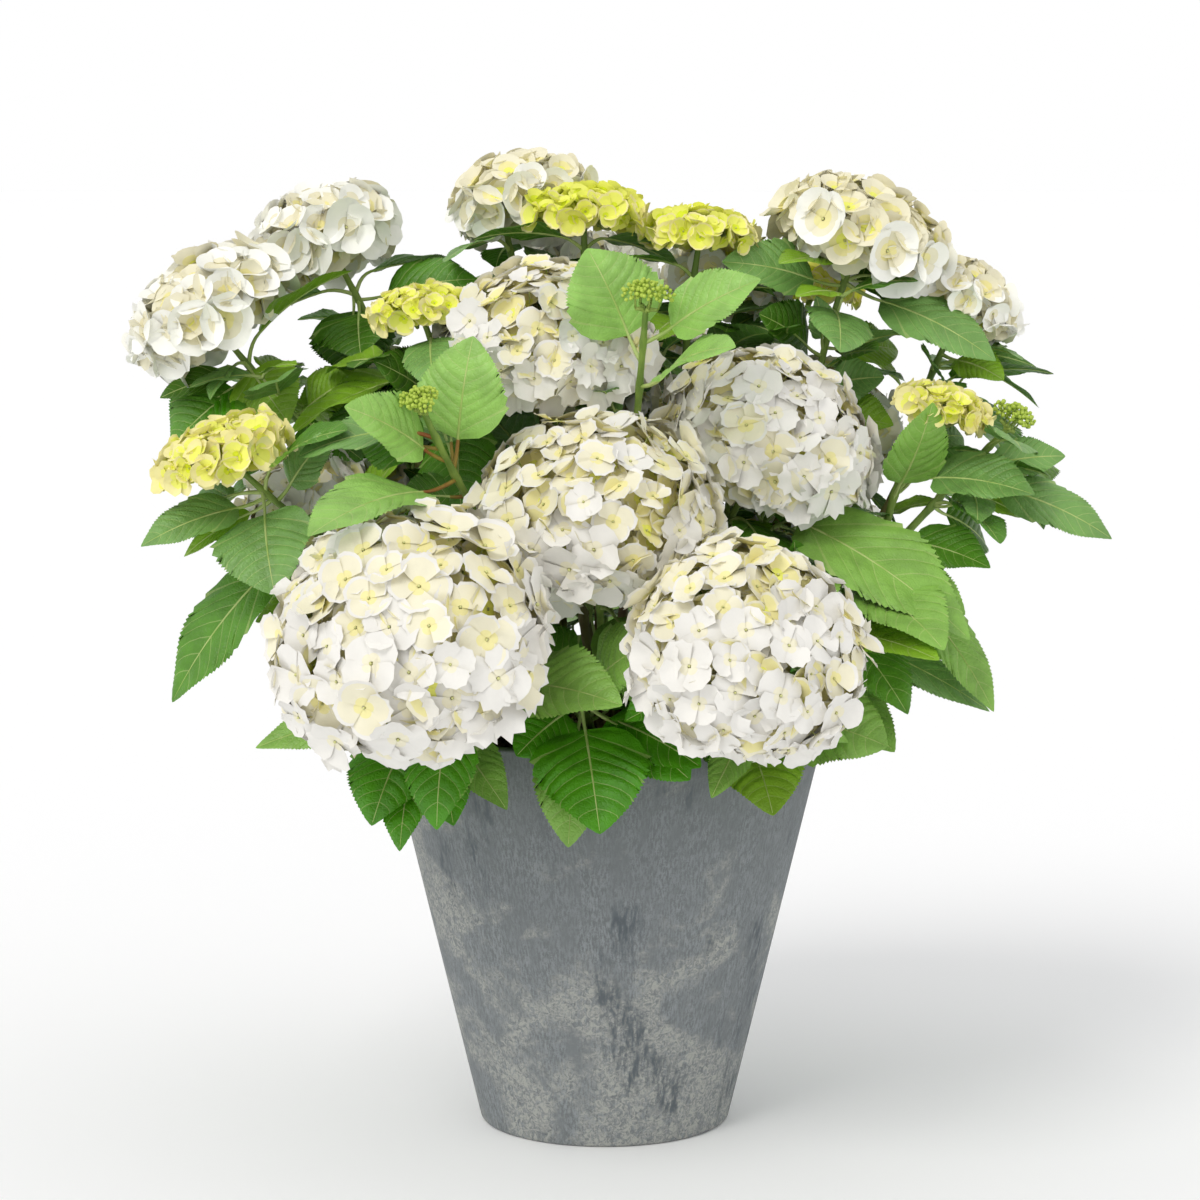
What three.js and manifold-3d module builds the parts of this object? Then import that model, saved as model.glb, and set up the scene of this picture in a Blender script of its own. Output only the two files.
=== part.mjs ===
// A potted mophead hydrangea in flower: a tapered planter filled with soil, a short woody crown,
// tapering canes, and one flowering or leafy shoot on each cane.
// Units are millimetres, +Z is up, the front is -Y, and the origin is the centre of the pot's foot.

import * as THREE from "three";
import { mergeVertices } from "three/addons/utils/BufferGeometryUtils.js";
import { ConvexHull } from "three/addons/math/ConvexHull.js";
import Module from "manifold-3d";

const wasm = await Module();
wasm.setup();

// ---- Driving sizes ----

const GAP = 0.3; // air between neighbouring pieces

const POT = {
  height: 340,
  rimRadius: 185,
  footRadius: 103.5,
  wall: 11,
  floor: 16,
  footRounding: 7,
  rimRounding: 3,
  roundingSteps: 2,
  sides: 40,
};
const SOIL_DROP = 30; // from the rim down to the soil
const SOIL_LEVEL = POT.height - SOIL_DROP;

const CROWN = { flareRadius: 40, knobRadius: 32.5, height: 44, sides: 14, domeSteps: 4 };

// A cane starts `seat` of the way out to the knob's surface, leaves it straight for `straight` of the
// distance to its fork, and forks `share` of the way out to its heads.
const CANE = {
  footRadius: 4.6,
  tipRadius: 3.6,
  sides: 4,
  steps: 3,
  seat: 0.6,
  straight: 0.5,
  share: 0.5,
};
// A stem starts `seat` inside its cane, and is then cut clear of it. It runs straight along its head's
// axis for `straight` of its length.
const STEM = { footRadius: 3.4, tipRadius: 2.4, sides: 3, steps: 3, seat: 3, straight: 0.4 };
// A leafy shoot leaves the crown's flank `drop` below the knob's centre, and bends at `out` of its
// reach and `up` of its height.
const LEAFY_STEM = { drop: 5, out: 0.5, up: 0.25 };
// A blade's `fold` is how far its edges rise, as a share of its half width, and its `arch` how far its
// midrib does, as a share of its length.
const LEAF = { keel: 1.2, fold: 0.08, arch: 0.13, stalkRadius: 1.8, rootDepth: 2.5 };

// How far a flower head rises above its widest ring and sinks below it, as shares of its radius,
// how many florets its solid shows, and how deep the valleys between them are.
const HEAD_KINDS = {
  open: { rise: 0.8, sink: 0.5, florets: 36, valley: 0.86 },
  young: { rise: 0.76, sink: 0.48, florets: 26, valley: 0.84 },
  lime: { rise: 0.6, sink: 0.34, florets: 20, valley: 0.84 },
  bud: { rise: 0.62, sink: 0.4, florets: 12, valley: 0.82 },
};
const HEAD_SEAT = 0.6; // how deep in a head's underside its stem ends, as a share of the sink
const FLORET_REACH = { least: 0.95, spread: 0.05 }; // of the head's radius
const LEAN_POINT = new THREE.Vector3(0, 0, 250); // the heads face away from here

// The flowering canes: where each head's centre stands, its width and its kind.
const FRONT_CANES = [
  { name: "front_left", heads: [{ at: [-148, -262, 437], width: 228, kind: "open" }] },
  { name: "front_right", heads: [{ at: [107, -264, 426], width: 194, kind: "open" }] },
  { name: "front_middle", heads: [{ at: [-6, -166, 523], width: 200, kind: "open" }] },
  { name: "upper_right", heads: [{ at: [129, -62, 572], width: 188, kind: "open" }] },
  { name: "upper_left", heads: [{ at: [-46, -64, 648], width: 178, kind: "open" }] },
  {
    name: "left_side",
    heads: [
      { at: [-247, -40, 508], width: 122, kind: "open" },
      { at: [-299, -130, 568], width: 108, kind: "lime" },
    ],
  },
  { name: "left_outer", heads: [{ at: [-327, 5, 673], width: 148, kind: "young" }] },
  {
    name: "left_top",
    heads: [
      { at: [-235, 92, 735], width: 134, kind: "young" },
      { at: [-150, -60, 683], width: 84, kind: "lime" },
    ],
  },
  {
    name: "top",
    heads: [
      { at: [-88, 104, 766], width: 102, kind: "young" },
      { at: [-18, 52, 765], width: 110, kind: "lime" },
    ],
  },
  {
    name: "top_right",
    heads: [
      { at: [80, 40, 742], width: 98, kind: "lime" },
      { at: [104, 112, 693], width: 108, kind: "young" },
      { at: [180, 140, 687], width: 78, kind: "lime" },
    ],
  },
  { name: "right_top", fork: [163, 35, 530], heads: [{ at: [218, 45, 744], width: 148, kind: "young" }] },
  { name: "right_outer", fork: [246, 40, 530], heads: [{ at: [310, 66, 684], width: 96, kind: "young" }] },
  {
    name: "right_side",
    fork: [226, -15, 470],
    heads: [
      { at: [273, -40, 602], width: 84, kind: "lime" },
      { at: [333, -20, 584], width: 42, kind: "bud" },
    ],
  },
  { name: "bud_left", heads: [{ at: [-141, -205, 613], width: 37, kind: "bud" }] },
  { name: "bud_top", fork: [20, -40, 520], heads: [{ at: [32, -160, 690], width: 44, kind: "bud" }] },
];

// ---- Vectors and seeded spread ----

const UP = new THREE.Vector3(0, 0, 1);
const v3 = (x, y, z) => new THREE.Vector3(x, y, z);

/** Polar place: azimuth 0 is the front, and it grows towards +X. */
function polar(azimuth, reach, height) {
  const angle = THREE.MathUtils.degToRad(azimuth);
  return v3(reach * Math.sin(angle), -reach * Math.cos(angle), height);
}

/** A repeatable number from 0 to 1 for item number `index` of series number `series`. */
function spread(index, series) {
  const value = index * 0.61803399 + series * 0.7548777 + 0.5;
  return value - Math.floor(value);
}

/** Unit vector square to `along`, `turn` degrees round it from the level direction. */
function perpendicular(along, turn) {
  const level = UP.clone().cross(along);
  if (level.length() < 0.05) level.set(1, 0, 0);
  level.normalize();
  const raised = along.clone().cross(level).normalize();
  const angle = THREE.MathUtils.degToRad(turn);
  return level.multiplyScalar(Math.cos(angle)).addScaledVector(raised, Math.sin(angle));
}

// ---- Solids ----

/** The solid of a closed three.js geometry, with its shared points merged. */
function solidOf(geometry) {
  const bare = new THREE.BufferGeometry();
  bare.setAttribute("position", geometry.attributes.position);
  bare.setIndex(geometry.index);
  const merged = mergeVertices(bare, 1e-4);
  const corners = merged.index.array;
  const kept = [];
  for (let i = 0; i < corners.length; i += 3) {
    const [a, b, c] = [corners[i], corners[i + 1], corners[i + 2]];
    if (a !== b && b !== c && c !== a) kept.push(a, b, c);
  }
  const vertProperties = new Float32Array(merged.attributes.position.array);
  const triVerts = new Uint32Array(kept);
  return new wasm.Manifold(new wasm.Mesh({ numProp: 3, vertProperties, triVerts }));
}

/** The named mesh of a solid. */
function meshOf(solid, name, material) {
  const { vertProperties, triVerts } = solid.getMesh();
  const geometry = new THREE.BufferGeometry();
  geometry.setAttribute("position", new THREE.BufferAttribute(vertProperties, 3));
  geometry.setIndex(new THREE.BufferAttribute(triVerts, 1));
  geometry.computeVertexNormals();
  const mesh = new THREE.Mesh(geometry, material);
  mesh.name = name;
  return mesh;
}

/** A round limb: a cylinder bent along the curve from `from` by way of `bend` to `to`. */
function limb(from, bend, to, footRadius, tipRadius, sides, steps) {
  const geometry = new THREE.CylinderGeometry(tipRadius, footRadius, 1, sides, steps);
  const curve = new THREE.QuadraticBezierCurve3(from, bend, to);
  const square = bend.clone().sub(from).cross(to.clone().sub(from));
  if (square.length() < 1) square.copy(perpendicular(to.clone().sub(from).normalize(), 0));
  square.normalize();
  const place = geometry.attributes.position;
  for (let i = 0; i < place.count; i++) {
    const along = place.getY(i) + 0.5;
    const at = curve.getPoint(along);
    const across = square.clone().cross(curve.getTangent(along));
    at.addScaledVector(square, place.getX(i)).addScaledVector(across, place.getZ(i));
    place.setXYZ(i, at.x, at.y, at.z);
  }
  return solidOf(geometry);
}

// Rows across a leaf from its root in the stem to its tip: where the blade's midrib has each row,
// and the row's half width as a share of the blade's width. The first two rows are the stalk.
const LEAF_ROWS = [
  { along: -1, half: 0 },
  { along: 0, half: 0 },
  { along: 0.34, half: 0.5 },
  { along: 0.72, half: 0.37 },
  { along: 1, half: 0 },
];

/** The arched midrib of a leaf blade, and the direction square to it in the blade. */
function midrib({ base, tip, facing }) {
  const chord = tip.clone().sub(base);
  const side = chord.clone().cross(facing).normalize();
  const face = side.clone().cross(chord).normalize();
  const top = base.clone().lerp(tip, 0.5).addScaledVector(face, LEAF.arch * chord.length());
  return { side, curve: new THREE.QuadraticBezierCurve3(base, top, tip) };
}

/** A leaf: a three-sided stalk that widens into a blade with a keel, `spare` larger all round. */
function leafSolid(leaf, spare = 0) {
  const { side, curve } = midrib(leaf);
  const last = LEAF_ROWS.length - 1;
  const geometry = new THREE.SphereGeometry(1, 3, last);
  const stalkWay = leaf.base.clone().sub(leaf.root).normalize();
  const place = geometry.attributes.position;
  for (let i = 0; i < place.count; i++) {
    const number = Math.round((Math.acos(place.getY(i)) / Math.PI) * last);
    const { along, half } = LEAF_ROWS[number];
    const isEnd = number === 0 || number === last;
    const isKeel = place.getX(i) < -0.1;
    const outward = isEnd || isKeel ? 0 : Math.sign(place.getZ(i));
    const width = half > 0 ? half * leaf.width + spare : LEAF.stalkRadius + spare;
    const rise = half > 0 ? half * leaf.width * LEAF.fold + spare : LEAF.stalkRadius + spare;
    const drop = half > 0 ? LEAF.keel + spare : LEAF.stalkRadius + spare;
    const tangent = curve.getTangent(Math.max(along, 0));
    const face = side.clone().cross(tangent);
    const rootEnd = leaf.root.clone().addScaledVector(stalkWay, -LEAF.rootDepth);
    const at = number === 0 ? rootEnd : curve.getPoint(along);
    at.addScaledVector(side, outward * width).addScaledVector(face, outward === 0 ? 0 : rise);
    if (isKeel && !isEnd) at.addScaledVector(face, -drop);
    if (number === last) at.addScaledVector(tangent, spare);
    place.setXYZ(i, at.x, at.y, at.z);
  }
  return solidOf(geometry);
}

/** A flower head: a dome studded with florets on a golden-angle spiral, with valleys between them. */
function headSolid(head) {
  const { rise, sink, florets, valley } = HEAD_KINDS[head.kind];
  const eyes = [];
  for (let i = 0; i < florets; i++) {
    const z = 1 - (2 * (i + 0.5)) / florets;
    const around = i * Math.PI * (3 - Math.sqrt(5));
    const level = Math.sqrt(1 - z * z);
    eyes.push(v3(level * Math.cos(around), level * Math.sin(around), z));
  }
  const faces = new ConvexHull().setFromPoints(eyes).faces;
  const hollowOf = new Map();
  const points = [...eyes];
  for (const face of faces) {
    const corners = [face.edge, face.edge.next, face.edge.prev].map((edge) => edge.head().point);
    const hollow = corners[0].clone().add(corners[1]).add(corners[2]).setLength(valley);
    hollowOf.set(face, points.push(hollow) - 1);
  }
  const index = [];
  for (const face of faces) {
    for (const edge of [face.edge, face.edge.next, face.edge.prev]) {
      index.push(eyes.indexOf(edge.tail().point), hollowOf.get(edge.twin.face), hollowOf.get(face));
    }
  }
  const geometry = new THREE.BufferGeometry().setFromPoints(points);
  geometry.setIndex(index);
  const radius = head.width / 2;
  const place = geometry.attributes.position;
  for (let i = 0; i < place.count; i++) {
    const z = place.getZ(i);
    const size = i < florets ? radius * (FLORET_REACH.least + FLORET_REACH.spread * spread(i, 3)) : radius;
    place.setXYZ(i, place.getX(i) * size, place.getY(i) * size, z * size * (z > 0 ? rise : sink));
  }
  const east = perpendicular(head.axis, 0);
  const north = head.axis.clone().cross(east);
  geometry.applyMatrix4(new THREE.Matrix4().makeBasis(east, north, head.axis).setPosition(head.centre));
  return solidOf(geometry);
}

// ---- Pot, soil and crown ----

const MATERIALS = {
  pot: new THREE.MeshStandardMaterial({ color: "#7b8284", roughness: 0.85, metalness: 0 }),
  soil: new THREE.MeshStandardMaterial({ color: "#3b2d22", roughness: 1, metalness: 0 }),
  bark: new THREE.MeshStandardMaterial({ color: "#7a6242", roughness: 0.9, metalness: 0 }),
  stem: new THREE.MeshStandardMaterial({ color: "#8a8a4c", roughness: 0.7, metalness: 0 }),
  leaf: new THREE.MeshStandardMaterial({ color: "#7fa05a", roughness: 0.5, metalness: 0 }),
  blossom: new THREE.MeshStandardMaterial({ color: "#dfdcc6", roughness: 0.7, metalness: 0 }),
};

/** Radius of the pot's outer wall at a height. */
const potRadius = (height) =>
  POT.footRadius + ((POT.rimRadius - POT.footRadius) * height) / POT.height;

/** A solid lathed round the Z axis, from a profile of [radius, height] pairs. */
function lathed(profile, sides) {
  const outline = profile.map(([radius, height]) => new THREE.Vector2(radius, height));
  return solidOf(new THREE.LatheGeometry(outline, sides).rotateX(Math.PI / 2));
}

/** The planter: a straight tapered wall on a flat floor, with a rounded foot and rim. */
function pot() {
  const { height, wall, floor, footRounding, rimRounding, sides } = POT;
  const profile = [[0, 0]];
  for (let step = 0; step <= POT.roundingSteps; step++) {
    const angle = (step / POT.roundingSteps) * (Math.PI / 2);
    const inset = footRounding * (1 - Math.sin(angle));
    const raised = footRounding * (1 - Math.cos(angle));
    profile.push([potRadius(raised) - inset, raised]);
  }
  profile.push([potRadius(height - rimRounding), height - rimRounding]);
  profile.push([potRadius(height) - rimRounding, height]);
  profile.push([potRadius(height) - wall, height]);
  profile.push([potRadius(floor) - wall, floor], [0, floor]);
  return lathed(profile, sides);
}

/** The soil that fills the pot to a level top, clear of its floor and wall by the gap. */
function pottingSoil() {
  const low = POT.floor + GAP;
  const inner = (height) => {
    const slope = (POT.rimRadius - POT.footRadius) / POT.height;
    const share = (height - POT.floor) / (POT.height - POT.floor);
    const bottom = potRadius(POT.floor) - POT.wall;
    return bottom + (potRadius(POT.height) - POT.wall - bottom) * share - GAP * (1 + slope);
  };
  const top = SOIL_LEVEL;
  return lathed([[0, low], [inner(low), low], [inner(top), top], [0, top]], POT.sides);
}

const CROWN_FOOT = SOIL_LEVEL + GAP;
const KNOB = v3(0, 0, CROWN_FOOT + CROWN.height - CROWN.knobRadius);

/** The woody crown: a flared foot cut flat at the soil under a knob, `spare` larger all round. */
function crownStem(spare = 0) {
  const radius = CROWN.knobRadius + spare;
  const foot = CROWN_FOOT - spare;
  const profile = [[0, foot], [CROWN.flareRadius + spare, foot], [radius, KNOB.z]];
  for (let step = 1; step <= CROWN.domeSteps; step++) {
    const angle = (step / CROWN.domeSteps) * (Math.PI / 2);
    profile.push([radius * Math.cos(angle), KNOB.z + radius * Math.sin(angle)]);
  }
  profile[profile.length - 1][0] = 0;
  return lathed(profile, CROWN.sides);
}

// ---- Canes and shoots ----

// Canes leave the knob in rings: how far each ring tilts from upright, and how many canes it holds.
const CANE_RINGS = [
  { tilt: 16, count: 4 },
  { tilt: 46, count: 8 },
  { tilt: 76, count: 11 },
];

// The back of the plant: rows of heads evenly spaced in azimuth, each row at one reach and height.
const BACK_ROWS = [
  { name: "back_low", first: 138, step: 42, count: 3, reach: 268, height: 446, width: 178, kind: "open" },
  { name: "back_middle", first: 122, step: 38, count: 4, reach: 224, height: 566, width: 140, kind: "open" },
  { name: "back_top", first: 184, step: 0, count: 1, reach: 172, height: 690, width: 128, kind: "young" },
];

// Leafy shoots without a flower, which spring from the crown and hang over the rim.
const LEAFY_SHOOTS = [
  { name: "front_low", tip: [-21, -188, 390] },
  { name: "front_low_left", tip: [-150, -150, 376] },
  { name: "front_low_right", tip: [126, -156, 372] },
  { name: "right_leafy", tip: [186, -60, 477] },
];
const BACK_LEAFY = { name: "back_leafy", first: 105, step: 50, count: 4, reach: 138, height: 384 };

// Leaves that give the plant its outline from the front. A row holds the head whose stem the leaf
// grows from, how far along that stem, the leaf tip's x, y and z, and the blade's width.
const SHOW_LEAVES = {
  left_top: [
    [0, 0.80, -200, 5, 636, 76],
    [0, 0.80, -106, 60, 698, 60],
    [0, 0.50, -258, 42, 590, 64],
    [0, 0.30, -244, 32, 568, 68],
    [1, 0.45, -184, -95, 640, 66],
  ],
  left_outer: [
    [0, 0.80, -364, -10, 604, 30],
    [0, 0.78, -352, -25, 566, 78],
    [0, 0.76, -266, 45, 578, 58],
    [0, 0.80, -256, 60, 624, 44],
  ],
  left_side: [
    [1, 0.76, -214, -120, 586, 46],
    [1, 0.80, -364, -150, 498, 50],
    [1, 0.84, -256, -185, 464, 82],
    [1, 0.62, -346, -110, 368, 66],
    [1, 0.78, -336, -100, 484, 26],
    [0, 0.45, -282, -75, 428, 44],
  ],
  bud_left: [
    [0, 0.68, -198, -228, 614, 58],
    [0, 0.62, -102, -168, 664, 74],
    [0, 0.58, -220, -310, 524, 72],
    [0, 0.76, -192, -150, 584, 56],
    [0, 0.48, -162, -160, 536, 46],
  ],
  bud_top: [
    [0, 0.72, -14, -126, 730, 84],
    [0, 0.82, 120, -175, 708, 56],
    [0, 0.60, 98, -246, 660, 56],
  ],
  right_top: [
    [0, 0.80, 96, 15, 714, 54],
    [0, 0.82, 320, -5, 634, 64],
    [0, 0.84, 242, 90, 686, 36],
    [0, 0.48, 126, 5, 672, 56],
    [0, 0.50, 174, 20, 686, 28],
    [0, 0.52, 248, 95, 636, 44],
    [0, 0.44, 222, -25, 644, 48],
    [0, 0.36, 232, 35, 618, 42],
    [0, 0.24, 238, 10, 580, 56],
  ],
  right_side: [
    [0, 0.30, 262, -80, 606, 54],
    [0, 0.52, 344, -85, 532, 64],
    [0, 0.75, 296, 15, 570, 40],
    [1, 0.66, 378, -6, 556, 36],
    [1, 0.62, 412, -45, 492, 56],
    [1, 0.52, 346, 25, 502, 22],
    [1, 0.38, 318, 35, 478, 60],
  ],
  right_outer: [
    [0, 0.58, 268, 30, 634, 38],
    [0, 0.68, 330, 25, 616, 44],
    [0, 0.72, 362, 70, 624, 16],
  ],
  right_leafy: [
    [0, 0.95, 286, -120, 440, 84],
    [0, 0.72, 258, -205, 416, 62],
    [0, 0.80, 312, -70, 354, 44],
    [0, 0.96, 152, -140, 484, 40],
  ],
  front_low: [
    [0, 0.92, -4, -248, 288, 92],
    [0, 0.96, 32, -235, 432, 78],
    [0, 0.84, 74, -215, 334, 62],
  ],
  front_low_left: [
    [0, 0.90, -166, -215, 286, 58],
    [0, 0.96, -158, -235, 272, 50],
    [0, 0.92, -76, -212, 300, 44],
    [0, 0.95, -276, -150, 338, 44],
  ],
  front_low_right: [
    [0, 0.85, 130, -215, 296, 72],
    [0, 0.94, 82, -216, 310, 34],
    [0, 0.95, 220, -190, 346, 88],
  ],
};

// How much the back heads differ from their row's height and width.
const BACK_SPREAD = { height: 24, leastWidth: 0.92, width: 0.16 };

/** The canes of the back, one a head. */
function backCanes() {
  const canes = [];
  for (const { name, first, step, count, reach, height, width, kind } of BACK_ROWS) {
    for (let i = 0; i < count; i++) {
      const at = polar(first + step * i, reach, height + BACK_SPREAD.height * spread(i, 1)).toArray();
      const wide = width * (BACK_SPREAD.leastWidth + BACK_SPREAD.width * spread(i, 2));
      canes.push({ name: `${name}_${i + 1}`, heads: [{ at, width: wide, kind }] });
    }
  }
  return canes;
}

/** Fills in a head's centre, the way it faces, and the point at its underside where its stem ends. */
function placeHead(head) {
  const centre = v3(...head.at);
  const axis = centre.clone().sub(LEAN_POINT).normalize();
  const depth = (HEAD_KINDS[head.kind].sink * head.width) / 2;
  return { ...head, centre, axis, base: centre.clone().addScaledVector(axis, -HEAD_SEAT * depth) };
}

/** Each cane's fork, where it ends and its shoot begins, part of the way out to its heads. */
function placeFork(cane) {
  const heads = cane.heads.map(placeHead);
  const middle = heads.reduce((sum, head) => sum.add(head.base), v3(0, 0, 0)).divideScalar(heads.length);
  const fork = cane.fork ? v3(...cane.fork) : KNOB.clone().lerp(middle, CANE.share);
  return { ...cane, heads, fork };
}

/** The direction in which each cane leaves the knob: upright ones inside, leaning ones outside. */
function placeFeet(canes) {
  const lean = (cane) => cane.fork.clone().sub(KNOB).angleTo(UP);
  const azimuth = (cane) => THREE.MathUtils.radToDeg(Math.atan2(cane.fork.x, -cane.fork.y));
  const waiting = [...canes].sort((a, b) => lean(a) - lean(b));
  for (const ring of CANE_RINGS) {
    const members = waiting.splice(0, ring.count).sort((a, b) => azimuth(a) - azimuth(b));
    const turn = 360 / members.length;
    const offsets = members.map((cane, i) => azimuth(cane) - i * turn);
    const start = offsets.reduce((sum, offset) => sum + offset, 0) / members.length;
    members.forEach((cane, i) => {
      const angle = THREE.MathUtils.degToRad(ring.tilt);
      cane.footWay = polar(start + i * turn, Math.sin(angle), Math.cos(angle));
    });
  }
}

/** A cane: one tapering limb from inside the knob to its fork, `spare` thicker and longer. */
function caneSolid(cane, spare = 0) {
  const from = KNOB.clone().addScaledVector(cane.footWay, CROWN.knobRadius * CANE.seat);
  const bend = KNOB.clone().addScaledVector(cane.footWay, cane.fork.distanceTo(KNOB) * CANE.straight);
  const to = cane.fork.clone().addScaledVector(cane.fork.clone().sub(bend).normalize(), spare);
  return limb(from, bend, to, CANE.footRadius + spare, CANE.tipRadius + spare, CANE.sides, CANE.steps);
}

/** A head's stem: from just inside its cane's tip up into the head along the head's axis. */
function headStem(cane, head) {
  const straight = STEM.straight * head.base.distanceTo(cane.fork);
  const bend = head.base.clone().addScaledVector(head.axis, -straight);
  const from = cane.fork.clone().addScaledVector(bend.clone().sub(cane.fork).normalize(), -STEM.seat);
  return new THREE.QuadraticBezierCurve3(from, bend, head.base);
}

/** A leafy shoot's stem: out of the crown's flank, then up to its tip. */
function leafyStem(tip) {
  const to = v3(...tip);
  const azimuth = THREE.MathUtils.radToDeg(Math.atan2(to.x, -to.y));
  const from = polar(azimuth, CROWN.knobRadius * CANE.seat, KNOB.z - LEAFY_STEM.drop);
  const rise = (to.z - KNOB.z) * LEAFY_STEM.up;
  const bend = polar(azimuth, Math.hypot(to.x, to.y) * LEAFY_STEM.out, KNOB.z + rise);
  return new THREE.QuadraticBezierCurve3(from, bend, to);
}

// ---- Leaves ----

const CLEARANCE = 0.5; // how much larger a leaf is taken to be when its room is tested
const PETIOLE_SHARE = 0.24; // of the way from the stem to the leaf's tip
// Leaf pairs go down a stem from `first` in steps. The top pair's blades are `length` long, and each
// pair below is longer by `growth`.
const LEAF_PAIRS = { count: 3, first: 0.82, step: 0.22, length: 88, growth: 12, widthShare: 0.66 };
const LENGTH_SPREAD = { least: 0.88, spread: 0.24 };
const PETIOLE = { out: 0.26, along: 0.16 }; // shares of the blade's length
const DROOP = { least: 0.1, spread: 0.5, along: 0.2 };
const PAIR_FACING = { outward: 0.35, along: 0.4 }; // beside 1 for straight up
const SHOW_FACING = { sidePerMm: 0.0012, forward: 0.75, up: 0.65 };
const RETRY = { count: 4, turn: 23, shrink: 0.14 }; // a leaf without room is turned on and made smaller

/** A leaf from a stem point to a given tip, its face turned between up, forward and outward. */
function showLeaf(stem, [, along, x, y, z, width]) {
  const root = stem.getPoint(along);
  const tip = v3(x, y, z);
  const base = root.clone().lerp(tip, PETIOLE_SHARE);
  const facing = v3(x * SHOW_FACING.sidePerMm, -SHOW_FACING.forward, SHOW_FACING.up);
  return { root, base, tip, width, facing };
}

/** The leaf of pair number `pair` on one side of a stem: level, then drooping, and longer lower down. */
function pairLeaf(stem, pair, turn, seed, shrink) {
  const along = LEAF_PAIRS.first - LEAF_PAIRS.step * pair;
  const root = stem.getPoint(along);
  const way = stem.getTangent(along);
  const out = perpendicular(way, turn);
  const size = shrink * (LENGTH_SPREAD.least + LENGTH_SPREAD.spread * spread(seed, 4));
  const length = size * (LEAF_PAIRS.length + LEAF_PAIRS.growth * pair);
  const base = root.clone().addScaledVector(out, PETIOLE.out * length);
  base.addScaledVector(way, PETIOLE.along * length);
  const droop = DROOP.least + DROOP.spread * spread(seed, 5);
  const chord = out.clone().addScaledVector(way, DROOP.along).addScaledVector(UP, -droop).normalize();
  const tip = base.clone().addScaledVector(chord, length);
  const facing = v3(root.x, root.y, 0).setLength(PAIR_FACING.outward).add(UP);
  facing.addScaledVector(way, PAIR_FACING.along);
  return { root, base, tip, width: length * LEAF_PAIRS.widthShare, facing };
}

// ---- Growing the plant ----

const canes = [...FRONT_CANES, ...backCanes()].map(placeFork);
placeFeet(canes);

const crown = crownStem();
const crownRoom = crownStem(GAP);
const taken = []; // every solid placed so far, with its box and the stem it belongs to

/** Notes that a solid has its place, with the stem it belongs to. */
function take(solid, stem = null) {
  taken.push({ solid, stem, box: solid.boundingBox() });
  return solid;
}

/** Whether two boxes have room between them. */
function apart(a, b) {
  return [0, 1, 2].some((axis) => a.min[axis] > b.max[axis] || b.min[axis] > a.max[axis]);
}

/** Whether a solid touches nothing placed so far, apart from one stem of its own. */
function isClear(solid, ownStem) {
  const box = solid.boundingBox();
  const near = taken.filter((other) => other.stem !== ownStem && !apart(box, other.box));
  return near.every((other) => solid.intersect(other.solid).isEmpty());
}

/** Adds a leaf to a shoot, and says whether there was room for it. */
function growLeaf(shoot, stem, leaf) {
  if (!isClear(leafSolid(leaf, CLEARANCE), stem)) return false;
  const bladeOnly = { ...leaf, root: leaf.base };
  if (!isClear(leafSolid(bladeOnly, CLEARANCE))) return false;
  shoot.solids.push(take(leafSolid(leaf), stem));
  return true;
}

const potSolid = take(pot());
const soilSolid = take(pottingSoil());
take(crown);

for (const cane of canes) cane.solid = take(caneSolid(cane).subtract(crownRoom));

/** A shoot with its stems and heads, and no leaves yet. */
function shootOf(name, stems, heads, seat) {
  const solids = stems.map((stem) => {
    const { v0, v1, v2 } = stem;
    const whole = limb(v0, v1, v2, STEM.footRadius, STEM.tipRadius, STEM.sides, STEM.steps);
    return take(whole.subtract(seat), stem);
  });
  for (const head of heads) solids.push(take(headSolid(head)));
  return { name, stems, solids, hasHeads: heads.length > 0 };
}

const backLeafy = Array.from({ length: BACK_LEAFY.count }, (_, i) => ({
  name: `${BACK_LEAFY.name}_${i + 1}`,
  tip: polar(BACK_LEAFY.first + BACK_LEAFY.step * i, BACK_LEAFY.reach, BACK_LEAFY.height).toArray(),
}));

const shoots = [
  ...canes.map((cane) => {
    const stems = cane.heads.map((head) => headStem(cane, head));
    return shootOf(cane.name, stems, cane.heads, caneSolid(cane, GAP));
  }),
  ...[...LEAFY_SHOOTS, ...backLeafy].map(({ name, tip }) => {
    return shootOf(name, [leafyStem(tip)], [], crownRoom);
  }),
];

for (const shoot of shoots) {
  for (const row of SHOW_LEAVES[shoot.name] ?? []) {
    const stem = shoot.stems[row[0]];
    growLeaf(shoot, stem, showLeaf(stem, row));
  }
}

for (let pair = 0; pair < LEAF_PAIRS.count; pair++) {
  shoots.forEach((shoot, number) => {
    shoot.stems.forEach((stem, order) => {
      for (const half of [0, 1]) {
        const seed = number * 8 + order * 4 + pair * 2 + half;
        const turn = 360 * spread(number, 6) + 90 * pair + 180 * half;
        for (let retry = 0; retry < RETRY.count; retry++) {
          const leaf = pairLeaf(stem, pair, turn + RETRY.turn * retry, seed, 1 - RETRY.shrink * retry);
          if (growLeaf(shoot, stem, leaf)) break;
        }
      }
    });
  });
}

const hydrangea = new THREE.Group();
hydrangea.add(meshOf(potSolid, "pot", MATERIALS.pot));
hydrangea.add(meshOf(soilSolid, "potting_soil", MATERIALS.soil));
hydrangea.add(meshOf(crown, "crown_stem", MATERIALS.bark));
for (const cane of canes) hydrangea.add(meshOf(cane.solid, `cane_${cane.name}`, MATERIALS.stem));
for (const shoot of shoots) {
  const pieces = shoot.solids.reduce((sum, solid) => sum.add(solid)).decompose();
  const whole = pieces.reduce((most, piece) => (piece.volume() > most.volume() ? piece : most));
  const material = shoot.hasHeads ? MATERIALS.blossom : MATERIALS.leaf;
  hydrangea.add(meshOf(whole, `shoot_${shoot.name}`, material));
}

export default hydrangea;
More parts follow.
